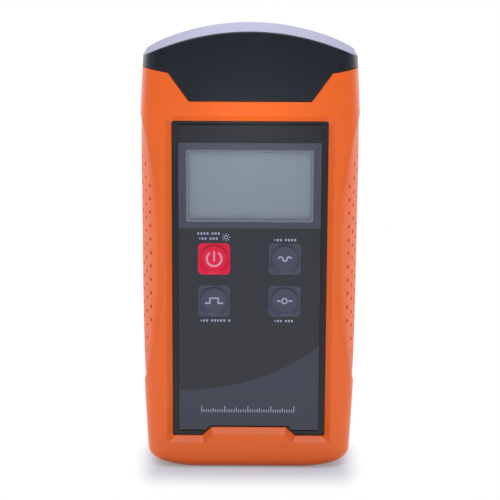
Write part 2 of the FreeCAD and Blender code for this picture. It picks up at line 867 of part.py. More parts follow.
def glass_block(shrink, y0, y1):
    """A block the size of the display glass."""
    half = display_half_width + glass_margin - shrink
    low = display_bottom - glass_margin + shrink
    high = display_top + glass_margin - shrink
    return block(-half, half, y0, y1, low, high)


def make_display_glass():
    """The liquid crystal cell behind the plate."""
    return glass_block(0, plate_back, glass_back)


def make_backlight():
    """Light guide behind the glass."""
    guide = glass_block(backlight_margin, glass_back, backlight_back)
    return guide.cut(connector_block(display_fit))


def connector_block(grow):
    """The elastomer strip from the glass down to the board."""
    half = display_half_width - glass_margin + grow
    low = display_bottom - glass_margin + backlight_margin
    return block(-half, half, glass_back, board_front, low - grow, low + connector_height + grow)


def make_display_connector():
    """Elastomer strip that joins the glass to the board."""
    return connector_block(0)


def make_display_holder():
    """Frame that carries the glass and its light guide on the board."""
    outer = glass_block(-holder_wall, plate_back, board_front)
    outer = outer.cut(glass_block(-display_fit, plate_back - 1, glass_back))
    outer = outer.cut(glass_block(backlight_margin - display_fit, plate_back - 1, backlight_back))
    return outer.cut(connector_block(display_fit))


# --- Keys and board --------------------------------------------------------------------------
def make_key(x, z):
    """Round dished key with a flange behind the plate and a stem to its switch."""
    face = film_face
    floor = key_radius - key_rim - key_dish_width
    flange_front = plate_back + key_flange_gap
    flange_back = flange_front + key_flange_thickness
    stem_end = flange_back + key_stem_length
    profile = [
        (0, face + key_dish_depth), (floor, face + key_dish_depth), (key_radius - key_rim, face),
        (key_radius, face), (key_radius, flange_front), (key_radius + key_flange, flange_front),
        (key_radius + key_flange, flange_back), (key_stem_radius, flange_back),
        (key_stem_radius, stem_end), (0, stem_end),
    ]
    corners = [Vector(x + r, y, z) for r, y in profile]
    section = Part.Face(Part.makePolygon(corners + corners[:1]))
    return section.revolve(Vector(x, 0, z), Vector(0, 1, 0), 360)


def make_key_switches():
    """Four tactile switches on the board, one under each key."""
    stem_end = plate_back + key_flange_gap + key_flange_thickness + key_stem_length
    button_top = stem_end + key_travel + switch_gap
    body_top = button_top + switch_button_height
    switches = []
    for x, z in key_places().values():
        half = switch_size / 2
        body = block(x - half, x + half, body_top, board_front, z - half, z + half)
        switches.append(body.fuse(rod_y(switch_button_radius, x, z, button_top, board_front)))
    return Part.makeCompound(switches)


def make_main_board():
    """Printed circuit board behind the display and keys."""
    board = rounded_block(-board_half_width, board_half_width, board_front, board_back,
                          board_bottom, board_top + rest_post_radius, board_corner_radius)
    for x, z in board_screw_places():
        hole = rod_y(board_screw_radius + screw_clearance, x, z, board_front - 1, board_back + 1)
        board = board.cut(hole)
    return board


def make_board_chips():
    """The larger packages on the back of the board."""
    middle = (bay_top + board_top) / 2
    sizes = [(-9.0, 7.0, 7.0), (12.0, 5.0, 4.0), (12.0, 4.0, 3.0)]
    levels = [middle, middle + cell_radius, middle - cell_radius]
    chips = []
    for (x, half_x, half_z), level in zip(sizes, levels):
        chips.append(block(x - half_x, x + half_x, board_back, board_back + chip_height,
                           level - half_z, level + half_z))
    return Part.makeCompound(chips)


def screw(radius, head_radius, head_height, length, seat, direction):
    """A pan-head screw; seat is under the head, direction points from head to tip."""
    shank = Part.makeCylinder(radius, length, seat, direction)
    head = Part.makeCylinder(head_radius, head_height, seat - direction * head_height, direction)
    return shank.fuse(head).removeSplitter()


def make_board_screws():
    """Four screws through the board into the bezel plate's posts."""
    forward = Vector(0, -1, 0)
    length = board_thickness + board_screw_length
    screws = []
    for x, z in board_screw_places():
        seat = Vector(x, board_back, z)
        screws.append(screw(board_screw_radius, board_screw_head_radius, board_screw_head_height,
                            length, seat, forward))
    return Part.makeCompound(screws)


def make_case_screws():
    """Four screws that close the case from the back."""
    forward = Vector(0, -1, 0)
    screws = []
    for x, z in boss_places():
        seat = Vector(x, back - case_screw_sink, z)
        screws.append(screw(case_screw_radius, case_screw_head_radius, case_screw_head_height,
                            case_screw_length, seat, forward))
    return Part.makeCompound(screws)


# --- Batteries and door ----------------------------------------------------------------------
def cell_columns():
    """X of each cell, from left to right."""
    first = -cell_pitch * (cell_count - 1) / 2
    return [first + cell_pitch * index for index in range(cell_count)]


def make_cell(x, upright):
    """One AA cell; the nipple is at the top of an upright one."""
    low = bay_bottom + contact_thickness + (contact_spring_height if upright else contact_stud_height)
    high = low + cell_length
    can_low = low if upright else low + cell_nipple_height
    can_high = high - cell_nipple_height if upright else high
    can = rod_z(cell_radius, x, cell_y, can_low, can_high)
    nipple = rod_z(cell_nipple_radius, x, cell_y, low, high)
    return can.fuse(nipple)


def make_contact(at_top):
    """Contact strip across one end of the bay: springs for flat ends, studs for nipples."""
    low = bay_top - contact_thickness if at_top else bay_bottom
    face = low if at_top else low + contact_thickness
    away = Vector(0, 0, -1 if at_top else 1)
    strip_half = bay_half_width - cell_clearance
    strip = block(-strip_half, strip_half, bay_floor + cell_clearance, cell_y + cell_radius / 2,
                  low, low + contact_thickness)
    for index, x in enumerate(cell_columns()):
        upright = index % 2 == 0
        foot = Vector(x, cell_y, face)
        if upright == at_top:
            bump = Part.makeCylinder(cell_nipple_radius, contact_stud_height, foot, away)
        else:
            bump = Part.makeCone(contact_spring_radius, cell_nipple_radius, contact_spring_height,
                                 foot, away)
        strip = strip.fuse(bump)
    return strip


def make_battery_door():
    """Door flush with the flat back, with a ribbed thumb pad and two snap tabs."""
    half = bay_half_width + door_seat - door_gap
    low = bay_bottom - door_seat + door_gap
    high = bay_top + door_seat - door_gap
    door = rounded_block(-half, half, door_inner_face, back, low, high, door_corner_radius)
    for index in range(door_rib_count):
        level = high - door_rib_pitch * (index + 2)
        door = door.cut(block(-door_rib_half_length, door_rib_half_length, back - door_rib_height,
                              back + 1, level - door_rib_width / 2, level + door_rib_width / 2))
    tab_front = door_inner_face - door_tab_reach
    for edge, way in ((bay_bottom + door_gap, 1), (bay_top - door_gap, -1)):
        z0 = min(edge, edge + way * door_tab_thickness)
        z1 = max(edge, edge + way * door_tab_thickness)
        door = door.fuse(block(-door_tab_half_width, door_tab_half_width, tab_front,
                               door_inner_face + door_thickness / 2, z0, z1))
    return door.removeSplitter()


# --- Ports -----------------------------------------------------------------------------------
def port_columns():
    """X of the input port and of the output port."""
    return {"input": -port_column, "output": port_column}


def port_screw_places(x):
    """The two screws of a port lie on a diagonal of its flange."""
    return [(x - port_screw_offset, -port_screw_offset), (x + port_screw_offset, port_screw_offset)]


def make_port_plate():
    """Black plate under the dust cover, with an apron that closes the tongue's notch."""
    plate = form(wall).common(slab(port_plate_bottom, port_plate_top))
    apron = form(wall).cut(form(wall + ledge_width))
    apron = apron.common(front_polygon(tongue_outline(apron_lap), front, front / 2))
    apron = apron.common(slab(0, port_plate_top))
    plate = plate.fuse(apron)
    for x in port_columns().values():
        plate = plate.cut(rod_z(tail_radius + tail_clearance, x, 0, tail_bottom, port_plate_top + 1))
        for screw_x, screw_y in port_screw_places(x):
            depth = port_plate_top - port_screw_length - thread_clearance
            radius = port_screw_radius + thread_clearance
            plate = plate.cut(rod_z(radius, screw_x, screw_y, depth, port_plate_top + 1))
    return plate.removeSplitter()


def make_port(x):
    """FC receptacle: square flange, threaded barrel, ferrule sleeve and key slot."""
    flange = block(x - flange_half_width, x + flange_half_width, -flange_half_width,
                   flange_half_width, port_plate_top, flange_top)
    corners = [e for e in flange.Edges if e.BoundBox.ZLength > flange_thickness / 2]
    body = flange.makeFillet(flange_corner_radius, corners)
    body = body.fuse(rod_z(barrel_radius, x, 0, port_plate_top, barrel_top))
    body = body.fuse(rod_z(tail_radius, x, 0, tail_bottom, port_plate_top))
    body = body.cut(rod_z(barrel_bore_radius, x, 0, flange_top, barrel_top + 1))
    sleeve_top = barrel_top - sleeve_recess
    body = body.fuse(rod_z(sleeve_radius, x, 0, port_plate_top, sleeve_top))
    body = body.cut(rod_z(ferrule_bore_radius, x, 0, sleeve_top - ferrule_bore_length, sleeve_top + 1))
    half_slot = key_slot_width / 2
    body = body.cut(block(x - half_slot, x + half_slot, -barrel_radius - 1, -sleeve_radius - tail_clearance,
                          barrel_top - key_slot_depth, barrel_top + 1))
    for screw_x, screw_y in port_screw_places(x):
        radius = port_screw_radius + screw_clearance
        body = body.cut(rod_z(radius, screw_x, screw_y, port_plate_top - 1, flange_top + 1))
    return body.removeSplitter()


def make_port_screws():
    """The screws of both ports."""
    down = Vector(0, 0, -1)
    length = flange_thickness + port_screw_length
    screws = []
    for x in port_columns().values():
        for screw_x, screw_y in port_screw_places(x):
            seat = Vector(screw_x, screw_y, flange_top)
            screws.append(screw(port_screw_radius, port_screw_head_radius, port_screw_head_height,
                                length, seat, down))
    return Part.makeCompound(screws)


def make_module(x, radius, length, lead_count):
    """An optical element under a port's tail, with its leads."""
    low = tail_bottom - length
    body = rod_z(radius, x, 0, low, tail_bottom)
    for index in range(lead_count):
        angle = 2 * math.pi * index / lead_count
        lead_x = x + lead_offset * math.cos(angle)
        lead_y = lead_offset * math.sin(angle)
        body = body.fuse(rod_z(lead_radius, lead_x, lead_y, low - lead_length, low + lead_radius))
    return body


# --- Dust cover ------------------------------------------------------------------------------
def make_dust_cover():
    """Domed cap with a front tongue and the middle knuckle of its hinge."""
    cap = form(0.0).common(above_joint(0.0))
    tongue = form(0.0).common(front_polygon(tongue_outline(0.0), front - wall, front + edge_radius))
    cap = cap.fuse(tongue).removeSplitter()
    crown = [e for e in cap.Edges if is_crown_edge(e)]
    cap = cap.makeFillet(cover_top_edge_radius, crown)
    cap = cap.cut(form(cover_wall))
    half = cover_knuckle_half_length
    cap = cap.fuse(rod_x(knuckle_radius, hinge_y, hinge_z, -half, half))
    cap = cap.fuse(side_polygon(hinge_web(1, hinge_web_height * 2 / 3), -half, half))
    start = half + cover_gap
    for side in (-1, 1):
        x0 = min(side * half, side * (knuckle_half_length + cover_gap))
        x1 = max(side * half, side * (knuckle_half_length + cover_gap))
        cap = cap.cut(rod_x(knuckle_radius + cover_gap, hinge_y, hinge_z, x0, x1))
    bore = rod_x(hinge_pin_radius + hinge_pin_clearance, hinge_y, hinge_z, -start, start)
    return cap.cut(bore).removeSplitter()


def is_crown_edge(edge):
    """True for the front and rear edges of the domed top."""
    box = edge.BoundBox
    return box.ZMin > joint_level + cover_wall and box.XLength > edge_radius / 4


def make_hinge_pin():
    """Steel pin through all three knuckles."""
    return rod_x(hinge_pin_radius, hinge_y, hinge_z, -knuckle_half_length, knuckle_half_length)


# --- All nodes -------------------------------------------------------------------------------
def build():
    """Every piece by its node name."""
    blank = case_blank()
    grip = make_grip()
    nodes = {
        "front_shell": make_front_shell(blank),
        "rear_shell": make_rear_shell(blank),
        "grip_left": mirrored(grip),
        "grip_right": grip,
        "bezel_plate": make_bezel_plate(),
        "panel_film": make_panel_film(),
        "display_window": make_display_window(),
        "display_glass": make_display_glass(),
        "display_backlight": make_backlight(),
        "display_connector": make_display_connector(),
        "display_holder": make_display_holder(),
        "main_board": make_main_board(),
        "board_chips": make_board_chips(),
        "board_screws": make_board_screws(),
        "key_switches": make_key_switches(),
        "case_screws": make_case_screws(),
        "battery_contact_top": make_contact(True),
        "battery_contact_bottom": make_contact(False),
        "battery_door": make_battery_door(),
        "port_plate": make_port_plate(),
        "port_screws": make_port_screws(),
        "detector_module": make_module(port_columns()["input"], detector_radius, detector_length, 3),
        "laser_module": make_module(port_columns()["output"], laser_radius, laser_length, 4),
        "dust_cover": make_dust_cover(),
        "hinge_pin": make_hinge_pin(),
    }
    for name, x in port_columns().items():
        nodes[name + "_port"] = make_port(x)
    for name, (x, z) in key_places().items():
        nodes[name] = make_key(x, z)
    for index, x in enumerate(cell_columns()):
        nodes["battery_cell_" + str(index + 1)] = make_cell(x, index % 2 == 0)
    return nodes


os.makedirs("parts", exist_ok=True)
for node_name, node_shape in build().items():
    node_shape.exportStep("parts/" + node_name + ".step")
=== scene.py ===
import math

import bmesh
import bpy
from mathutils import Euler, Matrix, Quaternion, Vector


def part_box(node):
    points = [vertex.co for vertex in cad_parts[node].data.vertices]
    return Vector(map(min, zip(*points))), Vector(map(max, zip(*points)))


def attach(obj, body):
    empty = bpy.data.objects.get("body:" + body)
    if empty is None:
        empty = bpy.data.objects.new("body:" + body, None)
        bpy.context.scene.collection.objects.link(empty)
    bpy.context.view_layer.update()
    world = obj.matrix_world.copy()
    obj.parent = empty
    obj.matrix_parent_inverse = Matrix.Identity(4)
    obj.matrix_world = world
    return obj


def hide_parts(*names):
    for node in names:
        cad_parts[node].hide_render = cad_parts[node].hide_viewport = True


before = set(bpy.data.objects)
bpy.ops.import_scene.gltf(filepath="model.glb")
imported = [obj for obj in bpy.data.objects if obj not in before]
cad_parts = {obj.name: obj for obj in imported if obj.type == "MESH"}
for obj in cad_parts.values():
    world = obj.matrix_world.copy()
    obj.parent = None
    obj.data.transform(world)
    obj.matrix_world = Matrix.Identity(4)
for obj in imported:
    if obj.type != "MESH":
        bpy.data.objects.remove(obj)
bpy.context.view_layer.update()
bpy.ops.object.select_all(action="DESELECT")


# Camera: a long lens in front of the meter, a little above it and looking down at the middle of
# its front, with a trace of roll.
case_low, case_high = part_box("front_shell")
camera_distance = 0.7227
camera_aside = 0.0002
camera_height = 0.2597
camera_pitch = math.radians(12.64)
camera_roll = math.radians(0.286)
bpy.ops.object.camera_add(location=(camera_aside, case_low[1] - camera_distance,
                                    camera_height))
camera = bpy.context.object
camera.name = "camera"
camera.rotation_mode = "QUATERNION"
camera.rotation_quaternion = (Euler((math.pi / 2 - camera_pitch, 0, 0)).to_quaternion()
                              @ Quaternion((0, 0, 1), camera_roll))
camera.data.lens = 125.7
camera.data.sensor_width = 36.0
camera.data.clip_start = 0.01
bpy.context.scene.camera = camera
bpy.context.scene.view_settings.view_transform = "Standard"


# Studio: a white paper sweep that begins a metre in front of the meter, a small softbox overhead,
# a large one behind each side, a strip behind, and a small gridded light low in front. Paper and
# surround are plain white to the eye, and the paper keeps the meter's soft shadow.
def linear(hex_colour):
    """An sRGB hex colour as linear RGBA."""
    channels = [int(hex_colour[start:start + 2], 16) / 255 for start in (1, 3, 5)]
    curve = [c / 12.92 if c <= 0.04045 else ((c + 0.055) / 1.055) ** 2.4 for c in channels]
    return curve + [1.0]


def add_node(tree, kind, values=None, links=None):
    """Adds a node, sets its properties and inputs, and links the rest to sockets."""
    node = tree.nodes.new(kind)
    for name, value in (values or {}).items():
        if isinstance(name, str) and hasattr(node, name):
            setattr(node, name, value)
        else:
            node.inputs[name].default_value = value
    for name, socket in (links or {}).items():
        tree.links.new(socket, node.inputs[name])
    return node


def new_material(name):
    """An empty node material and its tree."""
    material = bpy.data.materials.new(name)
    material.use_nodes = True
    material.node_tree.nodes.clear()
    return material, material.node_tree


def beyond_box(tree, position, middle, half):
    """How far a point lies outside a box along each axis, 0 inside."""
    moved = add_node(tree, "ShaderNodeVectorMath", {"operation": "SUBTRACT", 1: middle},
                     {0: position})
    folded = add_node(tree, "ShaderNodeVectorMath", {"operation": "ABSOLUTE"},
                      {0: moved.outputs[0]})
    past = add_node(tree, "ShaderNodeVectorMath", {"operation": "SUBTRACT", 1: half},
                    {0: folded.outputs[0]})
    beyond = add_node(tree, "ShaderNodeVectorMath", {"operation": "MAXIMUM", 1: (0, 0, 0)},
                      {0: past.outputs[0]})
    return beyond.outputs[0]


front_glow = [0.12, 0.12, 0.13, 1.0]
back_glow = "#E4E4F8"
pale_side = (0, 1, 0.6)
pale_range = (-0.7, 0.45)
fill_tint = "#ECEDF8"
fill_strength = 0.64
world = bpy.data.worlds.new("white_surround")
bpy.context.scene.world = world
world.use_nodes = True
sky = world.node_tree
sky.nodes.clear()
rays = add_node(sky, "ShaderNodeLightPath")
seen = add_node(sky, "ShaderNodeMath", {"operation": "MAXIMUM"},
                {0: rays.outputs["Is Camera Ray"], 1: rays.outputs["Is Transmission Ray"]})
heading = add_node(sky, "ShaderNodeTexCoord")
back_or_up = add_node(sky, "ShaderNodeVectorMath",
                      {"operation": "DOT_PRODUCT", 1: pale_side},
                      {0: heading.outputs["Generated"]})
behind = add_node(sky, "ShaderNodeMapRange",
                  {"interpolation_type": "SMOOTHSTEP",
                   "From Min": pale_range[0], "From Max": pale_range[1]},
                  {"Value": back_or_up.outputs["Value"]})
mirrored = add_node(sky, "ShaderNodeMix",
                    {"data_type": "RGBA", 6: front_glow, 7: linear(back_glow)},
                    {0: behind.outputs[0]})
gloss_light = add_node(sky, "ShaderNodeBackground", {"Strength": 1.0},
                       {"Color": mirrored.outputs[2]})
fill_light = add_node(sky, "ShaderNodeBackground",
                      {"Color": linear(fill_tint), "Strength": fill_strength})
white = add_node(sky, "ShaderNodeBackground", {"Color": (1, 1, 1, 1), "Strength": 1.0})
unseen = add_node(sky, "ShaderNodeMixShader", None,
                  {0: rays.outputs["Is Glossy Ray"], 1: fill_light.outputs[0],
                   2: gloss_light.outputs[0]})
blend = add_node(sky, "ShaderNodeMixShader", None,
                 {0: seen.outputs[0], 1: unseen.outputs[0], 2: white.outputs[0]})
add_node(sky, "ShaderNodeOutputWorld", None, {"Surface": blend.outputs[0]})

paper_size = 6.0
paper_front = -1.0
paper_drop = 0.0002
shade_width = case_high[0] - 0.008
shade_depth = 0.010
shade_reach = 0.028
side_falloff = 2.2
bounce_strength = 0.9
paper_grey = [0.40, 0.40, 0.41, 1.0]
shade_tint = [0.46, 0.505, 0.60, 1.0]
shade_lift = 0.25
bpy.ops.mesh.primitive_plane_add(size=paper_size,
                                 location=(0, paper_front + paper_size / 2, -paper_drop))
bpy.ops.object.transform_apply(location=True, rotation=True, scale=True)
floor = bpy.context.object
floor.name = "studio_floor"
paper, tree = new_material("white_paper_sweep")
rays = add_node(tree, "ShaderNodeLightPath")
direct = add_node(tree, "ShaderNodeMath", {"operation": "MAXIMUM"},
                  {0: rays.outputs["Is Camera Ray"], 1: rays.outputs["Is Glossy Ray"]})
seen = add_node(tree, "ShaderNodeMath", {"operation": "MAXIMUM"},
                {0: direct.outputs[0], 1: rays.outputs["Is Transmission Ray"]})
place = add_node(tree, "ShaderNodeTexCoord")
beyond = beyond_box(tree, place.outputs["Object"], (0, case_low[1] + shade_depth, 0),
                    (shade_width, shade_depth, 1.0))
narrowed = add_node(tree, "ShaderNodeVectorMath",
                    {"operation": "MULTIPLY", 1: (side_falloff, 1, 1)}, {0: beyond})
reach = add_node(tree, "ShaderNodeVectorMath", {"operation": "LENGTH"}, {0: narrowed.outputs[0]})
far = add_node(tree, "ShaderNodeMapRange",
               {"interpolation_type": "SMOOTHSTEP", "From Min": 0.0, "From Max": shade_reach},
               {"Value": reach.outputs["Value"]})
bounce = add_node(tree, "ShaderNodeMath", {"operation": "MULTIPLY", 1: bounce_strength},
                  {0: far.outputs[0]})
paper_light = add_node(tree, "ShaderNodeEmission", {"Color": [1, 1, 1, 1]},
                       {"Strength": bounce.outputs[0]})
paper_body = add_node(tree, "ShaderNodeBsdfDiffuse", {"Color": paper_grey})
matt = add_node(tree, "ShaderNodeAddShader", None,
                {0: paper_body.outputs[0], 1: paper_light.outputs[0]})
shaded = add_node(tree, "ShaderNodeBsdfDiffuse", {"Color": shade_tint})
lift = add_node(tree, "ShaderNodeEmission", {"Color": [1, 1, 1, 1], "Strength": shade_lift})
near = add_node(tree, "ShaderNodeAddShader", None, {0: shaded.outputs[0], 1: lift.outputs[0]})
glow = add_node(tree, "ShaderNodeEmission", {"Color": [1, 1, 1, 1], "Strength": 1.0})
plain = add_node(tree, "ShaderNodeMixShader", None,
                 {0: far.outputs[0], 1: near.outputs[0], 2: glow.outputs[0]})
sheet = add_node(tree, "ShaderNodeMixShader", None,
                 {0: seen.outputs[0], 1: matt.outputs[0], 2: plain.outputs[0]})
add_node(tree, "ShaderNodeOutputMaterial", None, {"Surface": sheet.outputs[0]})
floor.data.materials.append(paper)


def softbox(name, place, target, width, height, power, tint):
    """A rectangular soft light aimed at a point."""
    bpy.ops.object.light_add(type="AREA", location=place)
    lamp = bpy.context.object
    lamp.name = name
    lamp.data.shape = "RECTANGLE"
    lamp.data.size = width
    lamp.data.size_y = height
    lamp.data.energy = power
    lamp.data.color = linear(tint)[:3]
    aim = Vector(target) - Vector(place)
    lamp.rotation_mode = "QUATERNION"
    lamp.rotation_quaternion = aim.to_track_quat("-Z", "Y")
    return lamp


softbox("overhead_softbox", (0, -0.34, 0.52), (0, 0, 0.13), 0.40, 0.30, 1.0, "#FFFDFA")
softbox("left_softbox", (-0.85, 0.60, 0.35), (0, 0, 0.1), 0.85, 0.9, 2.2, "#F6F4FF")
softbox("right_softbox", (0.85, 0.60, 0.35), (0, 0, 0.1), 0.85, 0.9, 2.2, "#F6F4FF")
softbox("rear_strip", (0, 1.6, 0.62), (0, 0, 0.19), 2.4, 0.5, 7.0, "#D9DAFF")
chin = softbox("chin_gridded_light", (0, -0.25, 0.012), (0, case_low[1], 0.160), 0.03, 0.03, 0.0025,
               "#FFFDFA")
chin.data.spread = math.radians(16)


# Case shells and battery door: orange ABS, injection moulded with a fine spark-eroded grain that
# gives a satin sheen. The mould eases the edges, and the halves meet at a narrow shadow line.
def dress(material, *node_names):
    """Gives a material to CAD nodes, in every slot they have."""
    for node_name in node_names:
        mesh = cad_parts[node_name].data
        if not mesh.materials:
            mesh.materials.append(material)
        for index in range(len(mesh.materials)):
            mesh.materials[index] = material


def speckle(tree, size_mm, detail=2.0):
    """Noise on the object's own coordinates, its grains of a given size."""
    place = add_node(tree, "ShaderNodeTexCoord")
    noise = add_node(tree, "ShaderNodeTexNoise", {"Scale": 1000 / size_mm, "Detail": detail},
                     {"Vector": place.outputs["Object"]})
    return noise.outputs["Fac"]


def two_tone(tree, share, first, second):
    """The first colour where the share is 0, the second where it is 1."""
    mix = add_node(tree, "ShaderNodeMix",
                   {"data_type": "RGBA", 6: linear(first), 7: linear(second)}, {0: share})
    return mix.outputs[2]


def end_in_surface(tree, values, links):
    """Ends a material in a Principled surface."""
    surface = add_node(tree, "ShaderNodeBsdfPrincipled", values, links)
    add_node(tree, "ShaderNodeOutputMaterial", None, {"Surface": surface.outputs[0]})


def moulded_plastic(name, colour, shade, roughness, grain_mm, grain_depth_mm, edge_mm, ior=1.5):
    """Injection-moulded plastic: fine spark-eroded grain, slightly mottled tone, eased edges."""
    mottle_mm = 16.667
    material, tree = new_material(name)
    grain = speckle(tree, grain_mm)
    tone = two_tone(tree, speckle(tree, mottle_mm), colour, shade)
    gloss = add_node(tree, "ShaderNodeMapRange",
                     {"To Min": roughness - 0.04, "To Max": roughness + 0.05}, {"Value": grain})
    edge = add_node(tree, "ShaderNodeBevel", {"samples": 4, "Radius": edge_mm / 1000})
    relief = add_node(tree, "ShaderNodeBump",
                      {"Strength": 0.35, "Distance": grain_depth_mm / 1000},
                      {"Height": grain, "Normal": edge.outputs["Normal"]})
    end_in_surface(tree, {"IOR": ior},
                   {"Base Color": tone, "Roughness": gloss.outputs[0],
                    "Normal": relief.outputs["Normal"]})
    return material


orange_abs = moulded_plastic("orange_abs", "#E55F06", "#E15C04", roughness=0.30, grain_mm=0.35,
                             grain_depth_mm=0.012, edge_mm=0.6, ior=1.48)
dress(orange_abs, "front_shell", "rear_shell", "battery_door")


# Side grips: a softer orange elastomer pressed into pockets of the case, matt with a faint sheen.
# The floors of its blind dimples get painted shade, a deeper orange where ambient occlusion is
# high.
grip_colour = "#EA6828"
painted_pit_shade = "#E45602"
pit_size = 0.0022
grain_mm = 0.303
grain_depth_mm = 0.015
elastomer, tree = new_material("orange_elastomer")
closeness = add_node(tree, "ShaderNodeAmbientOcclusion",
                     {"samples": 8, "only_local": True, "Distance": pit_size})
open_air = add_node(tree, "ShaderNodeMapRange", {"From Min": 0.62, "From Max": 0.97},
                    {"Value": closeness.outputs["AO"]})
# Painted shade: the tone runs from the grip orange in the open to the deeper pit orange in the
# dimples.
tone = two_tone(tree, open_air.outputs[0], painted_pit_shade, grip_colour)
relief = add_node(tree, "ShaderNodeBump",
                  {"Strength": 0.35, "Distance": grain_depth_mm / 1000},
                  {"Height": speckle(tree, grain_mm)})
end_in_surface(tree,
               {"Roughness": 0.55, "IOR": 1.5, "Sheen Weight": 0.12, "Sheen Roughness": 0.4},
               {"Base Color": tone, "Normal": relief.outputs["Normal"]})
dress(elastomer, "grip_left", "grip_right")


# Dust cover: black ABS with a finer, shinier finish than the case, so that its crown mirrors the
# surround. It is hinged on a steel pin at the back.
black_abs = moulded_plastic("black_gloss_abs", "#0C1320", "#0B111D", roughness=0.28, grain_mm=0.35,
                            grain_depth_mm=0.006, edge_mm=0.25)
dress(black_abs, "dust_cover")


# Bezel plate and port plate: black moulded ABS, satin, finely grained. A band round the panel film
# is painted shadow, near black, and the display's grey mask runs down the walls of its opening.
def box_mask(tree, position, low, high):
    """1 inside a box given by its corners, 0 outside."""
    beyond = beyond_box(tree, position, [(a + b) / 2 for a, b in zip(low, high)],
                        [(b - a) / 2 for a, b in zip(low, high)])
    reach = add_node(tree, "ShaderNodeVectorMath", {"operation": "LENGTH"}, {0: beyond})
    inside = add_node(tree, "ShaderNodeMath", {"operation": "LESS_THAN", 1: 0.000001},
                      {0: reach.outputs["Value"]})
    return inside.outputs[0]


def rounded_mask(tree, position, middle, half, corner, blur=0.00002):
    """1 inside a rounded rectangle seen from the front, 0 outside; middle and half are (x, z)."""
    beyond = beyond_box(tree, position, (middle[0], 0, middle[1]),
                        (half[0] - corner, 1.0, half[1] - corner))
    reach = add_node(tree, "ShaderNodeVectorMath", {"operation": "LENGTH"}, {0: beyond})
    inside = add_node(tree, "ShaderNodeMapRange",
                      {"From Min": corner - blur, "From Max": corner + blur,
                       "To Min": 1.0, "To Max": 0.0}, {"Value": reach.outputs["Value"]})
    return inside.outputs[0]


window_low, window_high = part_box("display_window")
film_low, film_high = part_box("panel_film")
glass_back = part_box("display_glass")[1][1]
plate_black = "#121118"
painted_groove_shadow = "#040405"
mask_grey = "#7C8792"
wall_reach = 0.0006
shadow_band_width = 0.00045
shadow_band_corner = 0.0006
grain_mm = 0.4545
grain_depth_mm = 0.012
black_satin, tree = new_material("black_satin_abs")
place = add_node(tree, "ShaderNodeTexCoord")
opening = box_mask(tree, place.outputs["Object"],
                   (window_low[0] - wall_reach, window_high[1] - 0.0008,
                    window_low[2] - wall_reach),
                   (window_high[0] + wall_reach, glass_back + 0.001,
                    window_high[2] + wall_reach))
# Painted shadow: a thin band just outside the film's outline turns near black.
groove_shadow_band = rounded_mask(tree, place.outputs["Object"],
                      ((film_low[0] + film_high[0]) / 2, (film_low[2] + film_high[2]) / 2),
                      ((film_high[0] - film_low[0]) / 2 + shadow_band_width,
                       (film_high[2] - film_low[2]) / 2 + shadow_band_width),
                      shadow_band_corner, blur=0.0001)
tone = add_node(tree, "ShaderNodeMix", {"data_type": "RGBA", 7: linear(mask_grey)},
                {0: opening, 6: two_tone(tree, groove_shadow_band, plate_black, painted_groove_shadow)})
relief = add_node(tree, "ShaderNodeBump",
                  {"Strength": 0.5, "Distance": grain_depth_mm / 1000},
                  {"Height": speckle(tree, grain_mm)})
end_in_surface(tree, {"Roughness": 0.42, "IOR": 1.5},
               {"Base Color": tone.outputs[2], "Normal": relief.outputs["Normal"]})
dress(black_satin, "bezel_plate", "port_plate")


# Panel film and keys: one satin polycarbonate overlay, printed from behind in bands of dark,
# slate and charcoal with a lighter tone below a rising curve, and embossed over the four keys.
# Each key stands in a rounded square, with a soft shadow painted in its dish under the upper rim.
def middle_of(node_name):
    """Centre of a CAD node in X and Z."""
    low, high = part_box(node_name)
    return (low[0] + high[0]) / 2, (low[2] + high[2]) / 2


keys = {name: middle_of(name + "_key") for name in ("power", "wavelength", "mode", "reference")}
film_face = film_low[1]
band_top = window_high[2] + 0.0030
band_bottom = window_low[2] - 0.0025
sweep_radius = 0.096
sweep_x = -0.028
sweep_z = 0.0348 + sweep_radius
square_half = 0.00685
square_corner = 0.0021
rim_radius = 0.0058
rim_shadow = 0.0009
shadow_strength = 0.5
dish_edge = (0.0048, 0.0068)
dish_depth = 0.0005
grain_mm = 0.4
grain_depth_mm = 0.01
inks = {"charcoal": "#2C2F37", "sweep": "#3A3E4C", "slate": "#424655", "band": "#1D212A",
        "square": "#424757", "red": "#D80038"}

overlay, tree = new_material("printed_polycarbonate_film")
place = add_node(tree, "ShaderNodeTexCoord")
here = place.outputs["Object"]
flat_here = add_node(tree, "ShaderNodeVectorMath", {"operation": "MULTIPLY", 1: (1, 0, 1)},
                     {0: here})
parts = add_node(tree, "ShaderNodeSeparateXYZ", None, {0: here})
above_band = add_node(tree, "ShaderNodeMath", {"operation": "GREATER_THAN", 1: band_top},
                      {0: parts.outputs["Z"]})
above_keys = add_node(tree, "ShaderNodeMath", {"operation": "GREATER_THAN", 1: band_bottom},
                      {0: parts.outputs["Z"]})
from_sweep = add_node(tree, "ShaderNodeVectorMath",
                      {"operation": "SUBTRACT", 1: (sweep_x, 0, sweep_z)}, {0: here})
flat_sweep = add_node(tree, "ShaderNodeVectorMath", {"operation": "MULTIPLY", 1: (1, 0, 1)},
                      {0: from_sweep.outputs[0]})
reach = add_node(tree, "ShaderNodeVectorMath", {"operation": "LENGTH"}, {0: flat_sweep.outputs[0]})
outside = add_node(tree, "ShaderNodeMath", {"operation": "GREATER_THAN", 1: sweep_radius},
                   {0: reach.outputs["Value"]})
low_half = add_node(tree, "ShaderNodeMath", {"operation": "LESS_THAN", 1: keys["mode"][1]},
                    {0: parts.outputs["Z"]})
in_sweep = add_node(tree, "ShaderNodeMath", {"operation": "MULTIPLY"},
                    {0: outside.outputs[0], 1: low_half.outputs[0]})
layers = [(in_sweep.outputs[0], "sweep"), (above_keys.outputs[0], "slate"),
          (above_band.outputs[0], "band")]
for name, key_at in keys.items():
    square = rounded_mask(tree, here, key_at, (square_half, square_half), square_corner)
    layers.append((square, "red" if name == "power" else "square"))
ink = None
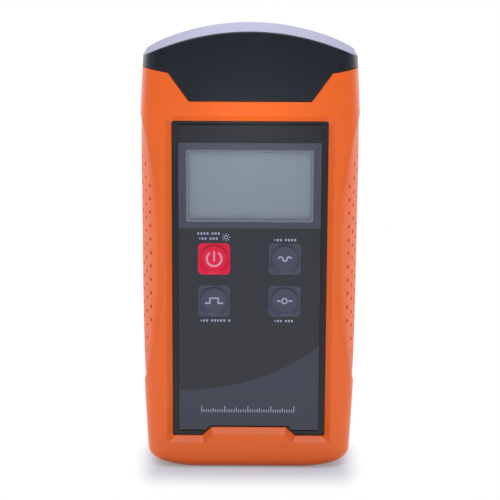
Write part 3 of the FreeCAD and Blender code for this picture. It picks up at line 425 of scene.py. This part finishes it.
for mask, ink_name in layers:
    layer = add_node(tree, "ShaderNodeMix", {"data_type": "RGBA", 7: linear(inks[ink_name])},
                     {0: mask})
    if ink is None:
        layer.inputs[6].default_value = linear(inks["charcoal"])
    else:
        tree.links.new(ink, layer.inputs[6])
    ink = layer.outputs[2]
nearest = None
shade = None
for key_at in keys.values():
    across = add_node(tree, "ShaderNodeVectorMath",
                      {"operation": "SUBTRACT", 1: (key_at[0], 0, key_at[1])},
                      {0: flat_here.outputs[0]})
    key_reach = add_node(tree, "ShaderNodeVectorMath", {"operation": "LENGTH"},
                         {0: across.outputs[0]})
    if nearest is None:
        nearest = key_reach.outputs["Value"]
    else:
        closer = add_node(tree, "ShaderNodeMath", {"operation": "MINIMUM"},
                          {0: nearest, 1: key_reach.outputs["Value"]})
        nearest = closer.outputs[0]
    rise = add_node(tree, "ShaderNodeSeparateXYZ", None, {0: across.outputs[0]})
    upward = add_node(tree, "ShaderNodeMath", {"operation": "DIVIDE"},
                      {0: rise.outputs["Z"], 1: key_reach.outputs["Value"]})
    off_rim = add_node(tree, "ShaderNodeMath", {"operation": "SUBTRACT", 1: rim_radius},
                       {0: key_reach.outputs["Value"]})
    from_rim = add_node(tree, "ShaderNodeMath", {"operation": "ABSOLUTE"},
                        {0: off_rim.outputs[0]})
    on_rim = add_node(tree, "ShaderNodeMapRange",
                      {"From Min": 0.0, "From Max": rim_shadow, "To Min": 1.0, "To Max": 0.0},
                      {"Value": from_rim.outputs[0]})
    under_rim = add_node(tree, "ShaderNodeMath", {"operation": "MULTIPLY", "use_clamp": True},
                         {0: on_rim.outputs[0], 1: upward.outputs[0]})
    if shade is None:
        shade = under_rim.outputs[0]
    else:
        either = add_node(tree, "ShaderNodeMath", {"operation": "MAXIMUM"},
                          {0: shade, 1: under_rim.outputs[0]})
        shade = either.outputs[0]
fainter = add_node(tree, "ShaderNodeMath", {"operation": "MULTIPLY", 1: shadow_strength},
                   {0: shade})
# Painted shadow: the ink darkens towards near black under the upper rim of each dish.
shaded_ink = add_node(tree, "ShaderNodeMix", {"data_type": "RGBA", 7: linear("#0C0D12")},
                      {0: fainter.outputs[0], 6: ink})
dish = add_node(tree, "ShaderNodeMapRange",
                {"interpolation_type": "SMOOTHSTEP",
                 "From Min": dish_edge[0], "From Max": dish_edge[1]},
                {"Value": nearest})
dished = add_node(tree, "ShaderNodeBump", {"Strength": 1.0, "Distance": dish_depth},
                  {"Height": dish.outputs[0]})
relief = add_node(tree, "ShaderNodeBump",
                  {"Strength": 0.4, "Distance": grain_depth_mm / 1000},
                  {"Height": speckle(tree, grain_mm, detail=1.0),
                   "Normal": dished.outputs["Normal"]})
end_in_surface(tree, {"Roughness": 0.40, "IOR": 1.41},
               {"Base Color": shaded_ink.outputs[2], "Normal": relief.outputs["Normal"]})
dress(overlay, "panel_film", "power_key", "wavelength_key", "mode_key", "reference_key")


# Key seals: the overlay's soft web round each key, which closes the running gap. Each is a flat
# ring of the same film, cut from a disc, thickened and set a hair below the overlay's face.
def pick_faces(test):
    """Selects, in edit mode, the faces whose centre passes a test."""
    bpy.ops.mesh.select_mode(type="FACE")
    bpy.ops.mesh.select_all(action="DESELECT")
    form = bmesh.from_edit_mesh(bpy.context.object.data)
    for face in form.faces:
        face.select_set(test(face.calc_center_median()))
    bmesh.update_edit_mesh(bpy.context.object.data)


def settle():
    """Puts the active object's place into its mesh, so that it sits at the origin, unturned."""
    bpy.ops.object.transform_apply(location=True, rotation=True, scale=True)
    return bpy.context.object


def finish_piece(name, material, body):
    """Names the active object, gives it its material and lets it ride on a body."""
    piece = bpy.context.object
    piece.name = name
    piece.data.name = name
    piece.data.materials.clear()
    piece.data.materials.append(material)
    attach(piece, body)
    return piece


def thicken(thickness):
    """Gives a flat active object a thickness backwards from its face."""
    modifier = bpy.context.object.modifiers.new("thickness", "SOLIDIFY")
    modifier.thickness = thickness
    modifier.offset = -1.0
    bpy.ops.object.modifier_apply(modifier="thickness")


def flat_ring(middle, depth, outer, line, kept=None, sides=64):
    """A flat ring facing the front. kept says, by angle from straight up, what stays of it."""
    bpy.ops.mesh.primitive_circle_add(vertices=sides, radius=outer, fill_type="NGON",
                                      rotation=(math.pi / 2, 0, 0),
                                      location=(middle[0], depth, middle[1]))
    ring = settle()
    bpy.ops.object.mode_set(mode="EDIT")
    bpy.ops.mesh.select_all(action="SELECT")
    bpy.ops.mesh.inset(thickness=line)
    bpy.ops.mesh.delete(type="FACE")
    if kept:
        def dropped(centre):
            turn = math.degrees(math.atan2(centre.x - middle[0], centre.z - middle[1]))
            return not kept(turn)
        pick_faces(dropped)
        bpy.ops.mesh.delete(type="FACE")
    bpy.ops.object.mode_set(mode="OBJECT")
    return ring


seal_outer = 0.00725
seal_line = 0.00014
seal_thickness = 0.0004
seal_face = film_face + 0.00005
for name, key_at in keys.items():
    flat_ring(key_at, seal_face, seal_outer, seal_line, sides=96)
    thicken(seal_thickness)
    finish_piece(name + "_key_seal", overlay, "case")


# Key signs: an on-off sign, a wave, a square pulse and a ring on a base line, screen-printed in
# matt ink on the overlay's dished faces, so that they move with their keys. Flat shapes joined.
ink_thickness = 0.00004
ink_rise = 0.00003


def flat_bar(middle, depth, width, height, turn=0.0):
    """A flat bar facing the front, turned clockwise in degrees as seen from there."""
    bpy.ops.mesh.primitive_plane_add(size=1, rotation=(math.pi / 2, 0, 0),
                                     location=(middle[0], depth, middle[1]))
    bpy.context.object.scale = (width, height, 1)
    bpy.context.object.rotation_mode = "QUATERNION"
    upright = Quaternion((1, 0, 0), math.pi / 2)
    clockwise = Quaternion((0, 1, 0), math.radians(turn))
    bpy.context.object.rotation_quaternion = clockwise @ upright
    return settle()


def one_print(shapes, name, material, body):
    """Joins flat shapes into one printed layer of ink."""
    bpy.ops.object.select_all(action="DESELECT")
    for shape in shapes:
        shape.select_set(True)
    bpy.context.view_layer.objects.active = shapes[0]
    if len(shapes) > 1:
        bpy.ops.object.join()
    thicken(ink_thickness)
    return finish_piece(name, material, body)


def screen_ink(name, colour, shade):
    """Screen-printed ink: matt, with the faint mottle of the mesh it was pressed through."""
    mesh_mm = 0.25
    material, tree = new_material(name)
    tone = two_tone(tree, speckle(tree, mesh_mm, detail=1.0), colour, shade)
    end_in_surface(tree, {"Roughness": 0.5, "IOR": 1.5}, {"Base Color": tone})
    return material


pale_ink = screen_ink("pale_screen_ink", "#9DA1BC", "#9498B4")
rose_ink = screen_ink("rose_screen_ink", "#D88CA4", "#CF849B")
dish_floor = film_face + 0.0006
sign_face = dish_floor - ink_rise
sign_line = 0.0007

circle_radius, circle_line = 0.0036, 0.00092
open_angle = 34
stroke_width, stroke_height, stroke_rise = 0.0008, 0.0045, 0.00115
x, z = keys["power"][0], keys["power"][1] - 0.0001
shapes = [
    flat_ring((x, z), sign_face, circle_radius, circle_line, lambda turn: abs(turn) > open_angle),
    flat_bar((x, z + stroke_rise), sign_face, stroke_width, stroke_height),
]
one_print(shapes, "power_sign", rose_ink, "power_key")

wave_radius = 0.00125
wave_step = 0.0018
x, z = keys["wavelength"]
shapes = []
for step, upward in ((-1, True), (0, False), (1, True)):
    side = (lambda turn: abs(turn) < 90) if upward else (lambda turn: abs(turn) > 90)
    shapes.append(flat_ring((x + step * wave_step, z), sign_face, wave_radius, sign_line, side,
                            sides=48))
one_print(shapes, "wavelength_sign", pale_ink, "wavelength_key")

crest_width, crest_rise = 0.0031, 0.0011
edge_away, edge_height = 0.0018, 0.0029
foot_away, foot_width = 0.0030, 0.0018
x, z = keys["mode"]
shapes = [flat_bar((x, z + crest_rise), sign_face, crest_width, sign_line)]
for side in (-1, 1):
    shapes += [
        flat_bar((x + side * edge_away, z), sign_face, sign_line, edge_height),
        flat_bar((x + side * foot_away, z - crest_rise), sign_face, foot_width, sign_line),
    ]
one_print(shapes, "mode_sign", pale_ink, "mode_key")

ring_radius, ring_line = 0.0014, 0.0006
arm_away, arm_width = 0.0025, 0.0016
x, z = keys["reference"]
shapes = [flat_ring((x, z), sign_face, ring_radius, ring_line, sides=48)]
for side in (-1, 1):
    shapes.append(flat_bar((x + side * arm_away, z), sign_face, arm_width, sign_line))
one_print(shapes, "reference_sign", pale_ink, "reference_key")


# Panel marks: rows of small plain blocks beside the keys, a lamp sign above the power key and a
# row of scale ticks near the foot, all one layer of pale ink printed on the overlay.
def flat_wedge(middle, depth, size):
    """A flat triangle facing the front and pointing right."""
    bpy.ops.mesh.primitive_circle_add(vertices=3, radius=size, fill_type="NGON",
                                      location=(middle[0], depth, middle[1]))
    bpy.context.object.rotation_mode = "QUATERNION"
    upright = Quaternion((1, 0, 0), math.pi / 2)
    to_the_right = Quaternion((0, 1, 0), math.pi / 2)
    bpy.context.object.rotation_quaternion = to_the_right @ upright
    return settle()


mark_face = film_face - ink_rise
wedge_away, wedge_size = 0.0008, 0.0005
block_width = 0.00078
block_height = 0.00100
block_pitch = 0.00132
group_gap = 0.00080
shapes = []
for left, level, groups in ((-0.0222, 0.1042, (4, 3)), (-0.0204, 0.1020, (2, 3)),
                            (0.0116, 0.1015, (2, 4)), (-0.0198, 0.0660, (2, 5, 1)),
                            (0.0119, 0.0659, (2, 3))):
    cursor = left
    if groups[0] == 2:
        shapes.append(flat_wedge((left - wedge_away, level), mark_face, wedge_size))
    for count in groups:
        for step in range(count):
            shapes.append(flat_bar((cursor + block_width / 2, level), mark_face, block_width,
                                   block_height))
            cursor += block_pitch
        cursor += group_gap

lamp_x, lamp_z = -0.0100, 0.1026
lamp_radius, lamp_line = 0.0009, 0.00032
ray_reach, ray_width, ray_length = 0.00152, 0.00028, 0.00065
shapes.append(flat_ring((lamp_x, lamp_z), mark_face, lamp_radius, lamp_line, sides=32))
for turn in range(0, 360, 45):
    shapes.append(flat_bar((lamp_x + ray_reach * math.sin(math.radians(turn)),
                            lamp_z + ray_reach * math.cos(math.radians(turn))),
                           mark_face, ray_width, ray_length, turn))

tick_pitch = 0.0010
tick_width = 0.00038
tick_count = 41
tick_foot = 0.0248
scale_middle = -0.0004
for step in range(tick_count):
    tall = 0.0028 if step % 10 == 0 else 0.0021 if step % 5 == 0 else 0.0013
    shapes.append(flat_bar(((step - tick_count // 2) * tick_pitch + scale_middle,
                            tick_foot + tall / 2), mark_face, tick_width, tall))
one_print(shapes, "panel_marks", pale_ink, "case")


# Display window: clear glossy acrylic let into the bezel plate flush with the overlay, with a soft
# grey border printed round its edge. The border is opaque to the eye, but less than half as
# opaque to shadow and bounce rays, so that it casts a fainter shadow on the cell behind.
border_at = ((window_low[0] + window_high[0]) / 2, (window_low[2] + window_high[2]) / 2)
border_grey = "#6E7683"
border_side = 0.0010
border_corner = 0.0008
border_blur = 0.0004
clear_half = ((window_high[0] - window_low[0]) / 2 - border_side,
              (window_high[2] - window_low[2]) / 2 - border_side)
acrylic, tree = new_material("acrylic_window")
place = add_node(tree, "ShaderNodeTexCoord")
clear = rounded_mask(tree, place.outputs["Object"], border_at, clear_half, border_corner,
                     border_blur)
cover_part = add_node(tree, "ShaderNodeMapRange", {"To Min": 1.0, "To Max": 0.08},
                      {"Value": clear})
# Shadow and bounce rays see the border less than half as opaque as the eye does, which lightens the
# shade on the cell behind.
rays = add_node(tree, "ShaderNodeLightPath")
lighting = add_node(tree, "ShaderNodeMath", {"operation": "MAXIMUM"},
                    {0: rays.outputs["Is Shadow Ray"], 1: rays.outputs["Is Diffuse Ray"]})
less_opaque_to_light = add_node(tree, "ShaderNodeMapRange", {"To Min": 1.0, "To Max": 0.45},
                   {"Value": lighting.outputs[0]})
opacity = add_node(tree, "ShaderNodeMath", {"operation": "MULTIPLY"},
                   {0: cover_part.outputs[0], 1: less_opaque_to_light.outputs[0]})
end_in_surface(tree, {"Base Color": linear(border_grey), "Roughness": 0.14, "IOR": 1.45},
               {"Alpha": opacity.outputs[0]})
dress(acrylic, "display_window")


# Display glass: unpowered liquid crystal cell, a grey-green polariser film under thin glass, with
# the faint cloud that the film's stretching leaves.
cloud_mm = 22.222
crystal, tree = new_material("liquid_crystal_cell")
tone = two_tone(tree, speckle(tree, cloud_mm, detail=1.0), "#7F8D94", "#85939A")
end_in_surface(tree, {"Roughness": 0.22, "IOR": 1.5}, {"Base Color": tone})
dress(crystal, "display_glass")


# Back and port marks: a thumb arrow moulded on the battery door below its ribs, and beside each
# port an arrow in pale screen ink, one pointing in to the detector and one out from the laser.
def lying_wedge(place, size, turn):
    """A flat triangle facing up, pointing to +X and turned anticlockwise in degrees."""
    bpy.ops.mesh.primitive_circle_add(vertices=3, radius=size, fill_type="NGON", location=place,
                                      rotation=(0, 0, math.radians(turn - 90)))
    return settle()


def lying_bar(place, width, depth):
    """A flat bar facing up."""
    bpy.ops.mesh.primitive_plane_add(size=1, location=place)
    bpy.context.object.scale = (width, depth, 1)
    return settle()


arrow_away = 0.0034
head_shift, head_size = 0.0008, 0.0013
tail_shift, tail_width, tail_length = 0.0009, 0.0007, 0.0018
plate_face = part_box("port_plate")[1][2] + ink_rise
for name, pointing in (("input", 1), ("output", -1)):
    low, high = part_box(name + "_port")
    x, y = (low[0] + high[0]) / 2, low[1] - arrow_away
    head = lying_wedge((x, y + pointing * head_shift, plate_face), head_size, pointing * 90)
    tail = lying_bar((x, y - pointing * tail_shift, plate_face), tail_width, tail_length)
    one_print([head, tail], name + "_arrow", pale_ink, "case")

door_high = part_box("battery_door")[1]
arrow_height = 0.00015
arrow_root = 0.0001
arrow_below = 0.0205
arrow_size = 0.0030
bpy.ops.mesh.primitive_circle_add(vertices=3, radius=arrow_size, fill_type="NGON",
                                  rotation=(-math.pi / 2, 0, 0),
                                  location=(0, door_high[1] + arrow_height,
                                            door_high[2] - arrow_below))
settle()
thicken(arrow_height + arrow_root)
finish_piece("door_arrow", orange_abs, "battery_door")


# Case screws: four pan-head screws with cross recesses, zinc-plated steel with faint turning
# marks, sunk in the back of the case. The head is turned and bevelled, the recess punched.
def plated_metal(name, colour, roughness, streak_mm):
    """Plated metal: bright, its reflections broken by faint turning marks, its edges eased."""
    edge_size = 0.0001
    material, tree = new_material(name)
    gloss = add_node(tree, "ShaderNodeMapRange",
                     {"To Min": roughness - 0.05, "To Max": roughness + 0.08},
                     {"Value": speckle(tree, streak_mm)})
    edge = add_node(tree, "ShaderNodeBevel", {"samples": 4, "Radius": edge_size})
    end_in_surface(tree, {"Base Color": linear(colour), "Metallic": 1.0},
                   {"Roughness": gloss.outputs[0], "Normal": edge.outputs["Normal"]})
    return material


def cross_screw(head_radius, head_height, shank_radius, length):
    """A pan-head screw along Z, seated at the origin, with a punched cross recess."""
    round_over = head_height * 0.35
    recess_width, recess_line = head_radius * 1.2, head_radius * 0.26
    recess_taper = 0.55
    bpy.ops.mesh.primitive_cylinder_add(vertices=48, radius=head_radius, depth=head_height,
                                        location=(0, 0, head_height / 2))
    screw = settle()
    bpy.ops.object.mode_set(mode="EDIT")
    pick_faces(lambda centre: centre.z > head_height * 0.99)
    bpy.ops.mesh.bevel(offset=round_over, segments=4, affect="EDGES")
    bpy.ops.object.mode_set(mode="OBJECT")
    for turn in (0, math.pi / 2):
        bpy.ops.mesh.primitive_cube_add(size=1, rotation=(0, 0, turn),
                                        location=(0, 0, head_height * 0.85))
        bpy.context.object.scale = (recess_width, recess_line, head_height)
        punch = settle()
        bpy.ops.object.mode_set(mode="EDIT")
        pick_faces(lambda centre: centre.z < head_height * 0.4)
        bpy.ops.transform.resize(value=(recess_taper, recess_taper, 1.0),
                                 center_override=(0, 0, 0))
        bpy.ops.object.mode_set(mode="OBJECT")
        bpy.context.view_layer.objects.active = screw
        recess = screw.modifiers.new("recess", "BOOLEAN")
        recess.operation = "DIFFERENCE"
        recess.solver = "EXACT"
        recess.object = punch
        bpy.ops.object.modifier_apply(modifier="recess")
        bpy.data.objects.remove(punch, do_unlink=True)
    bpy.ops.mesh.primitive_cylinder_add(vertices=24, radius=shank_radius, depth=length,
                                        location=(0, 0, -length / 2))
    shank = settle()
    bpy.ops.object.mode_set(mode="EDIT")
    pick_faces(lambda centre: centre.z < -length * 0.99)
    bpy.ops.mesh.bevel(offset=shank_radius * 0.4, segments=2, affect="EDGES")
    bpy.ops.object.mode_set(mode="OBJECT")
    bpy.ops.object.select_all(action="DESELECT")
    shank.select_set(True)
    screw.select_set(True)
    bpy.context.view_layer.objects.active = screw
    bpy.ops.object.join()
    bpy.ops.object.shade_smooth_by_angle(angle=math.radians(32))
    return screw


def set_copies(first, places, turn, stem, node_name, material):
    """Copies a screw to its places, each copy with its own mesh, in place of the CAD node."""
    for number, place in enumerate(places, 1):
        bpy.ops.object.select_all(action="DESELECT")
        first.select_set(True)
        bpy.context.view_layer.objects.active = first
        bpy.ops.object.duplicate(linked=False)
        copy = bpy.context.object
        copy.location = place
        copy.rotation_euler = turn
        settle()
        piece = finish_piece("%s_%d" % (stem, number), material, "case")
        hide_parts(node_name)
    bpy.data.objects.remove(first, do_unlink=True)


zinc = plated_metal("zinc_plated_steel", "#B9BABD", roughness=0.32, streak_mm=0.4)
head_radius = 0.0024
head_height = 0.0018
low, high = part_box("case_screws")
seat = high[1] - head_height
places = [(x, seat, z) for x in (low[0] + head_radius, high[0] - head_radius)
          for z in (low[2] + head_radius, high[2] - head_radius)]
first = cross_screw(head_radius, head_height, shank_radius=0.00125, length=seat - low[1])
set_copies(first, places, (-math.pi / 2, 0, 0), "case_screw", "case_screws", zinc)
dress(zinc, "board_screws", "hinge_pin")


# Ports: nickel-plated brass adapters, bright and smooth, with a fine M8 thread wound round the
# barrel and cut away at the key slot. A white zirconia sleeve lines the middle, and two small
# screws hold each flange.
thread_pitch = 0.00075
thread_depth = 0.0003
barrel_radius = 0.0040
slot_half = 0.00125
sleeve_radius = 0.0021
mark_mm = 0.4
nickel, tree = new_material("nickel_plated_brass")
place = add_node(tree, "ShaderNodeTexCoord")
parts = add_node(tree, "ShaderNodeSeparateXYZ", None, {0: place.outputs["Object"]})
output_low, output_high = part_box("output_port")
port_middle = (output_low[0] + output_high[0]) / 2
aside = add_node(tree, "ShaderNodeMath", {"operation": "ABSOLUTE"}, {0: parts.outputs["X"]})
inward = add_node(tree, "ShaderNodeMath", {"operation": "SUBTRACT", 1: port_middle},
                  {0: aside.outputs[0]})
across = add_node(tree, "ShaderNodeCombineXYZ", None,
                  {"X": inward.outputs[0], "Y": parts.outputs["Y"]})
reach = add_node(tree, "ShaderNodeVectorMath", {"operation": "LENGTH"}, {0: across.outputs[0]})
metal = add_node(tree, "ShaderNodeMath", {"operation": "GREATER_THAN", 1: sleeve_radius},
                 {0: reach.outputs["Value"]})
gloss = add_node(tree, "ShaderNodeMapRange", {"To Min": 0.18, "To Max": 0.30},
                 {"Value": speckle(tree, mark_mm)})
end_in_surface(tree, None, {"Base Color": two_tone(tree, metal.outputs[0], "#F0EEE6", "#C9C4B8"),
                            "Metallic": metal.outputs[0], "Roughness": gloss.outputs[0]})
dress(nickel, "input_port", "output_port")

screw_low, screw_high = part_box("port_screws")
port_head_radius = 0.0017
port_head_height = 0.0010
port_seat = screw_high[2] - port_head_height
thread_low = port_seat + 0.0010
thread_stop = 0.0004
screw_reach = screw_high[0] - port_head_radius - port_middle
port_places = []
for name in ("input", "output"):
    low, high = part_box(name + "_port")
    x, y = (low[0] + high[0]) / 2, (low[1] + high[1]) / 2
    turns = int((high[2] - thread_stop - thread_low) / thread_pitch)
    bpy.ops.mesh.primitive_circle_add(vertices=3, radius=thread_depth, fill_type="NOTHING",
                                      rotation=(math.pi / 2, 0, -math.pi / 2),
                                      location=(barrel_radius, 0, 0))
    ridge = settle()
    wind = ridge.modifiers.new("wind", "SCREW")
    wind.axis = "Z"
    wind.steps = 48
    wind.render_steps = 48
    wind.iterations = turns
    wind.screw_offset = thread_pitch
    wind.use_smooth_shade = False
    bpy.ops.object.modifier_apply(modifier="wind")
    ridge.location = (x, y, thread_low)
    settle()
    bpy.ops.object.mode_set(mode="EDIT")
    pick_faces(lambda centre: abs(centre.x - x) < slot_half and centre.y < y)
    bpy.ops.mesh.delete(type="FACE")
    bpy.ops.mesh.select_all(action="SELECT")
    bpy.ops.mesh.fill_holes(sides=4)
    bpy.ops.mesh.select_all(action="SELECT")
    bpy.ops.mesh.normals_make_consistent(inside=False)
    bpy.ops.object.mode_set(mode="OBJECT")
    finish_piece(name + "_port_thread", nickel, "case")
    port_places += [(x + side * screw_reach, y + side * screw_reach, port_seat)
                    for side in (-1, 1)]
first = cross_screw(port_head_radius, port_head_height, shank_radius=0.0010,
                    length=port_seat - screw_low[2])
set_copies(first, port_places, (0, 0, 0), "port_screw", "port_screws", zinc)


# Battery cells and contacts: three cells in glossy printed shrink jackets, dark with a band of
# copper colour at one end, their bare steel ends showing. The contacts are bright tinned springs.
band_height = 0.012
cap_height = 0.0012
foot_height = 0.0006
mark_mm = 1.111
cell_low, cell_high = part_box("battery_cell_1")
jacket, tree = new_material("shrink_jacket")
place = add_node(tree, "ShaderNodeTexCoord")
parts = add_node(tree, "ShaderNodeSeparateXYZ", None, {0: place.outputs["Object"]})
banded = add_node(tree, "ShaderNodeMath",
                  {"operation": "GREATER_THAN", 1: cell_high[2] - band_height},
                  {0: parts.outputs["Z"]})
capped = add_node(tree, "ShaderNodeMath",
                  {"operation": "GREATER_THAN", 1: cell_high[2] - cap_height},
                  {0: parts.outputs["Z"]})
footed = add_node(tree, "ShaderNodeMath",
                  {"operation": "LESS_THAN", 1: cell_low[2] + foot_height},
                  {0: parts.outputs["Z"]})
bare = add_node(tree, "ShaderNodeMath", {"operation": "MAXIMUM"},
                {0: capped.outputs[0], 1: footed.outputs[0]})
sleeve = two_tone(tree, banded.outputs[0], "#262A31", "#B06A34")
tone = add_node(tree, "ShaderNodeMix", {"data_type": "RGBA", 7: linear("#C4C5C8")},
                {0: bare.outputs[0], 6: sleeve})
gloss = add_node(tree, "ShaderNodeMapRange", {"To Min": 0.22, "To Max": 0.32},
                 {"Value": speckle(tree, mark_mm)})
end_in_surface(tree, None, {"Base Color": tone.outputs[2], "Metallic": bare.outputs[0],
                            "Roughness": gloss.outputs[0]})
dress(jacket, "battery_cell_1", "battery_cell_2", "battery_cell_3")
tinned = plated_metal("tinned_contact", "#D0D0D2", roughness=0.28, streak_mm=0.5)
dress(tinned, "battery_contact_top", "battery_contact_bottom")


# Inner works: green solder-resist board, black epoxy packages and switches, white display holder
# and light guide, all satin, and the brighter steel cans of the detector and the laser.
solder_resist = moulded_plastic("solder_resist", "#0F4A25", "#0E4723", roughness=0.35,
                                grain_mm=0.5, grain_depth_mm=0.004, edge_mm=0.1)
epoxy = moulded_plastic("epoxy_package", "#0E0E10", "#0D0D0F", roughness=0.40, grain_mm=0.4,
                        grain_depth_mm=0.004, edge_mm=0.1)
diffuser = moulded_plastic("white_diffuser", "#E6E6E2", "#E2E2DE", roughness=0.40, grain_mm=0.4,
                           grain_depth_mm=0.004, edge_mm=0.1)
steel_can = plated_metal("stainless_can", "#BFBFC1", roughness=0.30, streak_mm=0.5)
dress(solder_resist, "main_board")
dress(epoxy, "board_chips", "key_switches", "display_connector")
dress(diffuser, "display_backlight", "display_holder")
dress(steel_can, "detector_module", "laser_module")
